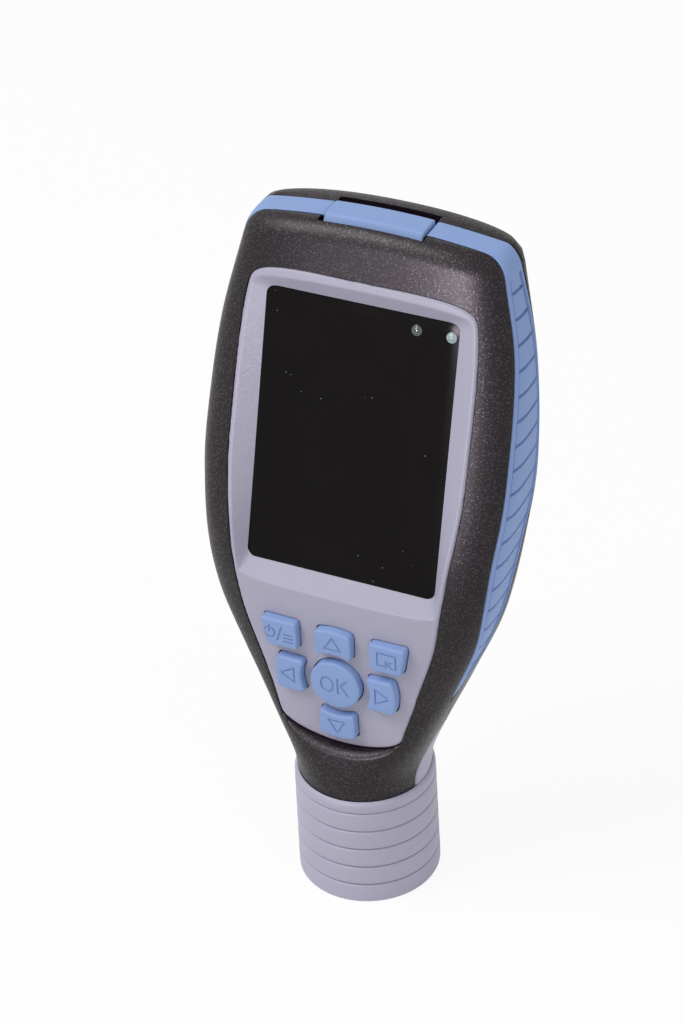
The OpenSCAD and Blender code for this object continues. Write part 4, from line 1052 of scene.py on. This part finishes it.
# Lines of the signs, in mm from the middle of the round key.
LETTER_LINE, THIN_LINE = 0.5, 0.36
arrowhead = [(-1.95, 9.7), (1.95, 9.7), (0.0, 12.8)]
signs = {name: stroke(turned_by(arrowhead, turn), closed=True) for turn, name in enumerate(ARROWS)}
letter_o = [(-1.75 + 1.45 * math.cos(t), 1.85 * math.sin(t)) for t in np.linspace(0, 2 * math.pi, 29)]
letter_k = ([(0.75, -1.9), (0.75, 1.9)], [(2.95, 1.9), (0.8, -0.2)], [(1.45, 0.45), (3.1, -1.9)])
signs["ok"] = [leg for line in (letter_o, *letter_k) for leg in stroke(line, LETTER_LINE)]
signs["power"] = (stroke(arc(-15.0, 10.4, 1.25, 120, 420, 15)) + stroke([(-15.0, 10.6), (-15.0, 12.1)])
                  + stroke([(-13.2, 8.7), (-12.1, 12.1)])
                  + [leg for v in (8.7, 9.6, 10.5) for leg in stroke([(-11.6, v), (-9.6, v)], THIN_LINE)])
signs["return"] = (stroke([(10.6, 8.9), (10.6, 12.1), (14.9, 12.1), (14.9, 8.7), (13.8, 8.7)])
                   + stroke([(10.6, 8.9), (12.5, 8.9)]) + stroke([(12.6, 10.2), (14.0, 8.6)])
                   + stroke([(12.6, 8.7), (12.6, 10.2), (13.9, 10.1)]))
# A key from its foot to its face: how far its outline is drawn in, and the depth.
key_profile = ((0.0, -8.35), (0.0, -11.85), (0.04, -12.05), (0.15, -12.22), (0.32, -12.32), (0.5, -12.35))
SIGN_FRONT, SIGN_FLOOR = -14.0, -12.13
for name in KEYS:
    flat = key_outline(name, 0.0)
    if np.sum(flat[:, 0] * np.roll(flat[:, 1], -1) - flat[:, 1] * np.roll(flat[:, 0], -1)) < 0:
        flat = flat[::-1]
    rows = []
    for inset, y in key_profile:
        line = inward(flat, inset)
        rows.append(np.stack([line[:, 0], np.full(len(line), y), KEY_Z + line[:, 1]], -1))
    key = solid("key_" + name + "_cap", *stacked(rows), blue)
    carve(key, [prism(leg + (0, KEY_Z), SIGN_FRONT, SIGN_FLOOR) for leg in signs[name]])
    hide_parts("key_" + name)
    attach(key, "key_" + name)


# Port cover and socket
# A blue plastic flap over the data socket in the roof. It turns on a steel pin along its back edge
# and has a slanted front lip for the finger.

BARREL_R, FLAP_FOOT, FLAP_UNDER = 1.15, TOP - 2.9, TOP - 0.9


def cover_line(inset):
    """Section of the flap in (y, z), moved in by an inset, with rounded edges."""
    y0, ys, y1, zt = ROOF[0] - 1.9, ROOF[0] - 0.2, ROOF[1] - 0.6, TOP + 0.6
    behind = ROOF[0] - 0.3
    corners = [(y0, FLAP_FOOT, 0.2), (y0, TOP - 2.3, 0.2), (ys, zt, 0.6), (y1, zt, 0.5), (y1, hinge[1], 0.3)]
    corners += [(hinge[0] + BARREL_R * math.cos(a), hinge[1] + BARREL_R * math.sin(a), 0)
                for a in np.linspace(-0.4, -3.1, 9)]
    corners += [(hinge[0] - BARREL_R, FLAP_UNDER, 0.2), (behind, FLAP_UNDER, 0.2), (behind, FLAP_FOOT, 0.25)]
    points = []
    for k, (y, z, r) in enumerate(corners):
        here = np.array([y, z])
        if r == 0:
            points.append(here)
            continue
        a, b = np.array(corners[k - 1][:2]) - here, np.array(corners[(k + 1) % len(corners)][:2]) - here
        p, q = here + a / np.linalg.norm(a) * r, here + b / np.linalg.norm(b) * r
        points += eased(p, here, q, np.linspace(0, 1, 7))
    return inward(np.array(points)[::-1], inset)


# Half of the flap's sections, from its rounded end in: place across, and how far the section is drawn in.
flap_end = [(11.2, 0.28), (11.12, 0.1), (10.95, 0.0)]
flap_places = [(-x, inset) for x, inset in flap_end] + [(x, 0.0) for x in np.linspace(-10.6, 10.6, 23)]
flap_places += flap_end[::-1]
rows = []
for x, inset in flap_places:
    line = cover_line(inset)
    # The flap follows the arch of the roof, but its barrel stays straight.
    fixed = smooth((line[:, 0] - hinge[0] + 1.5) / 0.3) * smooth((TOP - 1.2 - line[:, 1]) / 0.6)
    rows.append(np.stack([np.full(len(line), x), line[:, 0], line[:, 1] - (1 - fixed) * sink(x, TOP)], -1))
cover = solid("port_cover_flap", *stacked(rows), blue)
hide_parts("port_cover")
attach(cover, "port_cover")


# Parts inside and under the gauge
# Boards, display module, cells, contacts and probe parts keep their own solids: printed boards
# in green, steel and brass turned parts, black rubber mat, and the sleeves of the two cells.

board_green = moulded("board_green", screen(38, 92, 60), 0.4, grain=1200.0, bump=0.05, shade=0.15,
                      fleck=(screen(196, 178, 120), 900.0, 0.08, 0.7))
rubber = moulded("mat_rubber", screen(46, 46, 50), 0.75, grain=1800.0, bump=0.3)
dark = moulded("dark_moulding", screen(58, 57, 61), 0.5, grain=2000.0, bump=0.2)
brass = moulded("bush_brass", screen(196, 170, 104), 0.36, grain=3000.0, bump=0.06, metallic=1.0)
tip_steel = moulded("hard_tip", screen(120, 120, 126), 0.2, grain=4000.0, bump=0.03, metallic=1.0)
sleeve = moulded("cell_sleeve", screen(70, 96, 74), 0.35, grain=1500.0, bump=0.05)
film = moulded("cable_film", screen(150, 104, 52), 0.35, grain=1500.0, bump=0.04)
grey_film = moulded("display_film", screen(120, 128, 122), 0.25, grain=1500.0, bump=0.03)
finishes = (
    (board_green, ("main_board", "keypad_board", "probe_board")),
    (rubber, ("keypad_mat", "display_gasket")),
    (dark, ("buzzer", "battery_tray", "probe_tube")),
    (brass, ("guide_bush", "battery_contacts")),
    (steel, ("port_socket", "hinge_pin", "key_domes", "retaining_ring", "sensor", "sensor_spring")),
    (tip_steel, ("sensor_tip",)),
    (sleeve, ("left_cell", "right_cell")),
    (film, ("flat_cable",)),
    (grey_film, ("lcd_module",)),
)
for finish, names in finishes:
    for name in names:
        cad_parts[name].data.materials.clear()
        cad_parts[name].data.materials.append(finish)


# Studio
# A pale floor and a white background, which gloss shows too; the floor keeps the shadow. A large soft
# lamp stands above on the left, a weaker one on the right lights without gloss, and a small one in
# front shows in gloss only. The camera has the angle of the picture.

def seen_by_camera(tree):
    """Socket that is 1 for what the camera sees, straight, mirrored or through something clear."""
    path = tree.nodes.new("ShaderNodeLightPath")
    mirrored, clear = sum_node(tree, "MAXIMUM"), sum_node(tree, "MAXIMUM")
    join(tree,
         (path.outputs["Is Camera Ray"], mirrored.inputs[0]),
         (path.outputs["Is Glossy Ray"], mirrored.inputs[1]),
         (mirrored.outputs[0], clear.inputs[0]), (path.outputs["Is Transmission Ray"], clear.inputs[1]))
    return clear.outputs[0]


FLOOR_HALF, FLOOR_GLOW, SOFT_LIGHT = 3, 0.9, 0.55
floor_mesh = bpy.data.meshes.new("floor")
floor_mesh.from_pydata([(x, y, 0) for x, y in bar(0, 0, FLOOR_HALF, FLOOR_HALF)], [], [(0, 1, 2, 3)])
floor = bpy.data.objects.new("floor", floor_mesh)
scene.collection.objects.link(floor)
pale = bpy.data.materials.new("pale_floor")
pale.use_nodes = True
tree = pale.node_tree
matt = tree.nodes["Principled BSDF"]
matt.inputs["Base Color"].default_value = (0.82, 0.82, 0.82, 1)
matt.inputs["Roughness"].default_value = 0.9
glow, blend = tree.nodes.new("ShaderNodeEmission"), tree.nodes.new("ShaderNodeMixShader")
portion = sum_node(tree, "MULTIPLY", FLOOR_GLOW)
join(tree, (seen_by_camera(tree), portion.inputs[0]), (portion.outputs[0], blend.inputs[0]),
     (matt.outputs[0], blend.inputs[1]), (glow.outputs[0], blend.inputs[2]),
     (blend.outputs[0], tree.nodes["Material Output"].inputs["Surface"]))
floor_mesh.materials.append(pale)

world = bpy.data.worlds.new("studio")
scene.world = world
world.use_nodes = True
tree = world.node_tree
soft = tree.nodes["Background"]
soft.inputs["Color"].default_value = (1, 1, 1, 1)
soft.inputs["Strength"].default_value = SOFT_LIGHT
white, blend = tree.nodes.new("ShaderNodeBackground"), tree.nodes.new("ShaderNodeMixShader")
white.inputs["Color"].default_value = (1, 1, 1, 1)
join(tree, (seen_by_camera(tree), blend.inputs[0]), (soft.outputs[0], blend.inputs[1]),
     (white.outputs[0], blend.inputs[2]), (blend.outputs[0], tree.nodes["World Output"].inputs["Surface"]))


def stand(right, up, back, place):
    """Matrix of a thing at a place, turned to its three directions."""
    return Matrix(np.column_stack([right, up, back, place]).tolist() + [[0, 0, 0, 1]])


GAUGE_MIDDLE = np.array((0, 0, 0.09))


def lamp(name, place, size, power):
    """A round soft lamp that faces the middle of the gauge; places in metres, power in watts."""
    light = bpy.data.lights.new(name, "AREA")
    light.shape, light.size, light.energy = "DISK", size, power
    thing = bpy.data.objects.new(name, light)
    back = np.array(place) - GAUGE_MIDDLE
    back /= np.linalg.norm(back)
    right = np.cross((0, 0, 1), back)
    right /= np.linalg.norm(right)
    thing.matrix_world = stand(right, np.cross(back, right), back, place)
    scene.collection.objects.link(thing)
    return thing


lamp("key_lamp", (-0.55, -0.45, 1.05), 0.7, 9.0)
lamp("fill_lamp", (0.9, -0.5, 0.7), 0.8, 2.5).visible_glossy = False
front_lamp = lamp("front_lamp", (-0.1, -1.22, 0.34), 0.3, 13.0)
front_lamp.visible_diffuse = False
front_lamp.data.color = (1.0, 0.88, 1.0)

# The camera, solved from the rings of the skirt: its angles, and the gauge's foot in its view in mm.
turn, rise, roll = math.radians(27.743), math.radians(35.074), math.radians(3.243)
FOOT_RIGHT, FOOT_DOWN, CAMERA_AWAY = 6.547, 78.001, 729.345
back = np.array([math.sin(turn) * math.cos(rise), -math.cos(turn) * math.cos(rise), math.sin(rise)])
right = np.array([math.cos(turn), math.sin(turn), 0])
up = np.array([-math.sin(turn) * math.sin(rise), math.cos(turn) * math.sin(rise), math.cos(rise)])
right, up = right * math.cos(roll) - up * math.sin(roll), right * math.sin(roll) + up * math.cos(roll)
eye = (-FOOT_RIGHT * right + FOOT_DOWN * up + CAMERA_AWAY * back) * MM
view = bpy.data.cameras.new("camera")
view.lens, view.sensor_width = 112.5, 36.0
camera = bpy.data.objects.new("camera", view)
camera.matrix_world = stand(right, up, back, eye)
scene.collection.objects.link(camera)
scene.camera = camera
scene.view_settings.view_transform = "Standard"
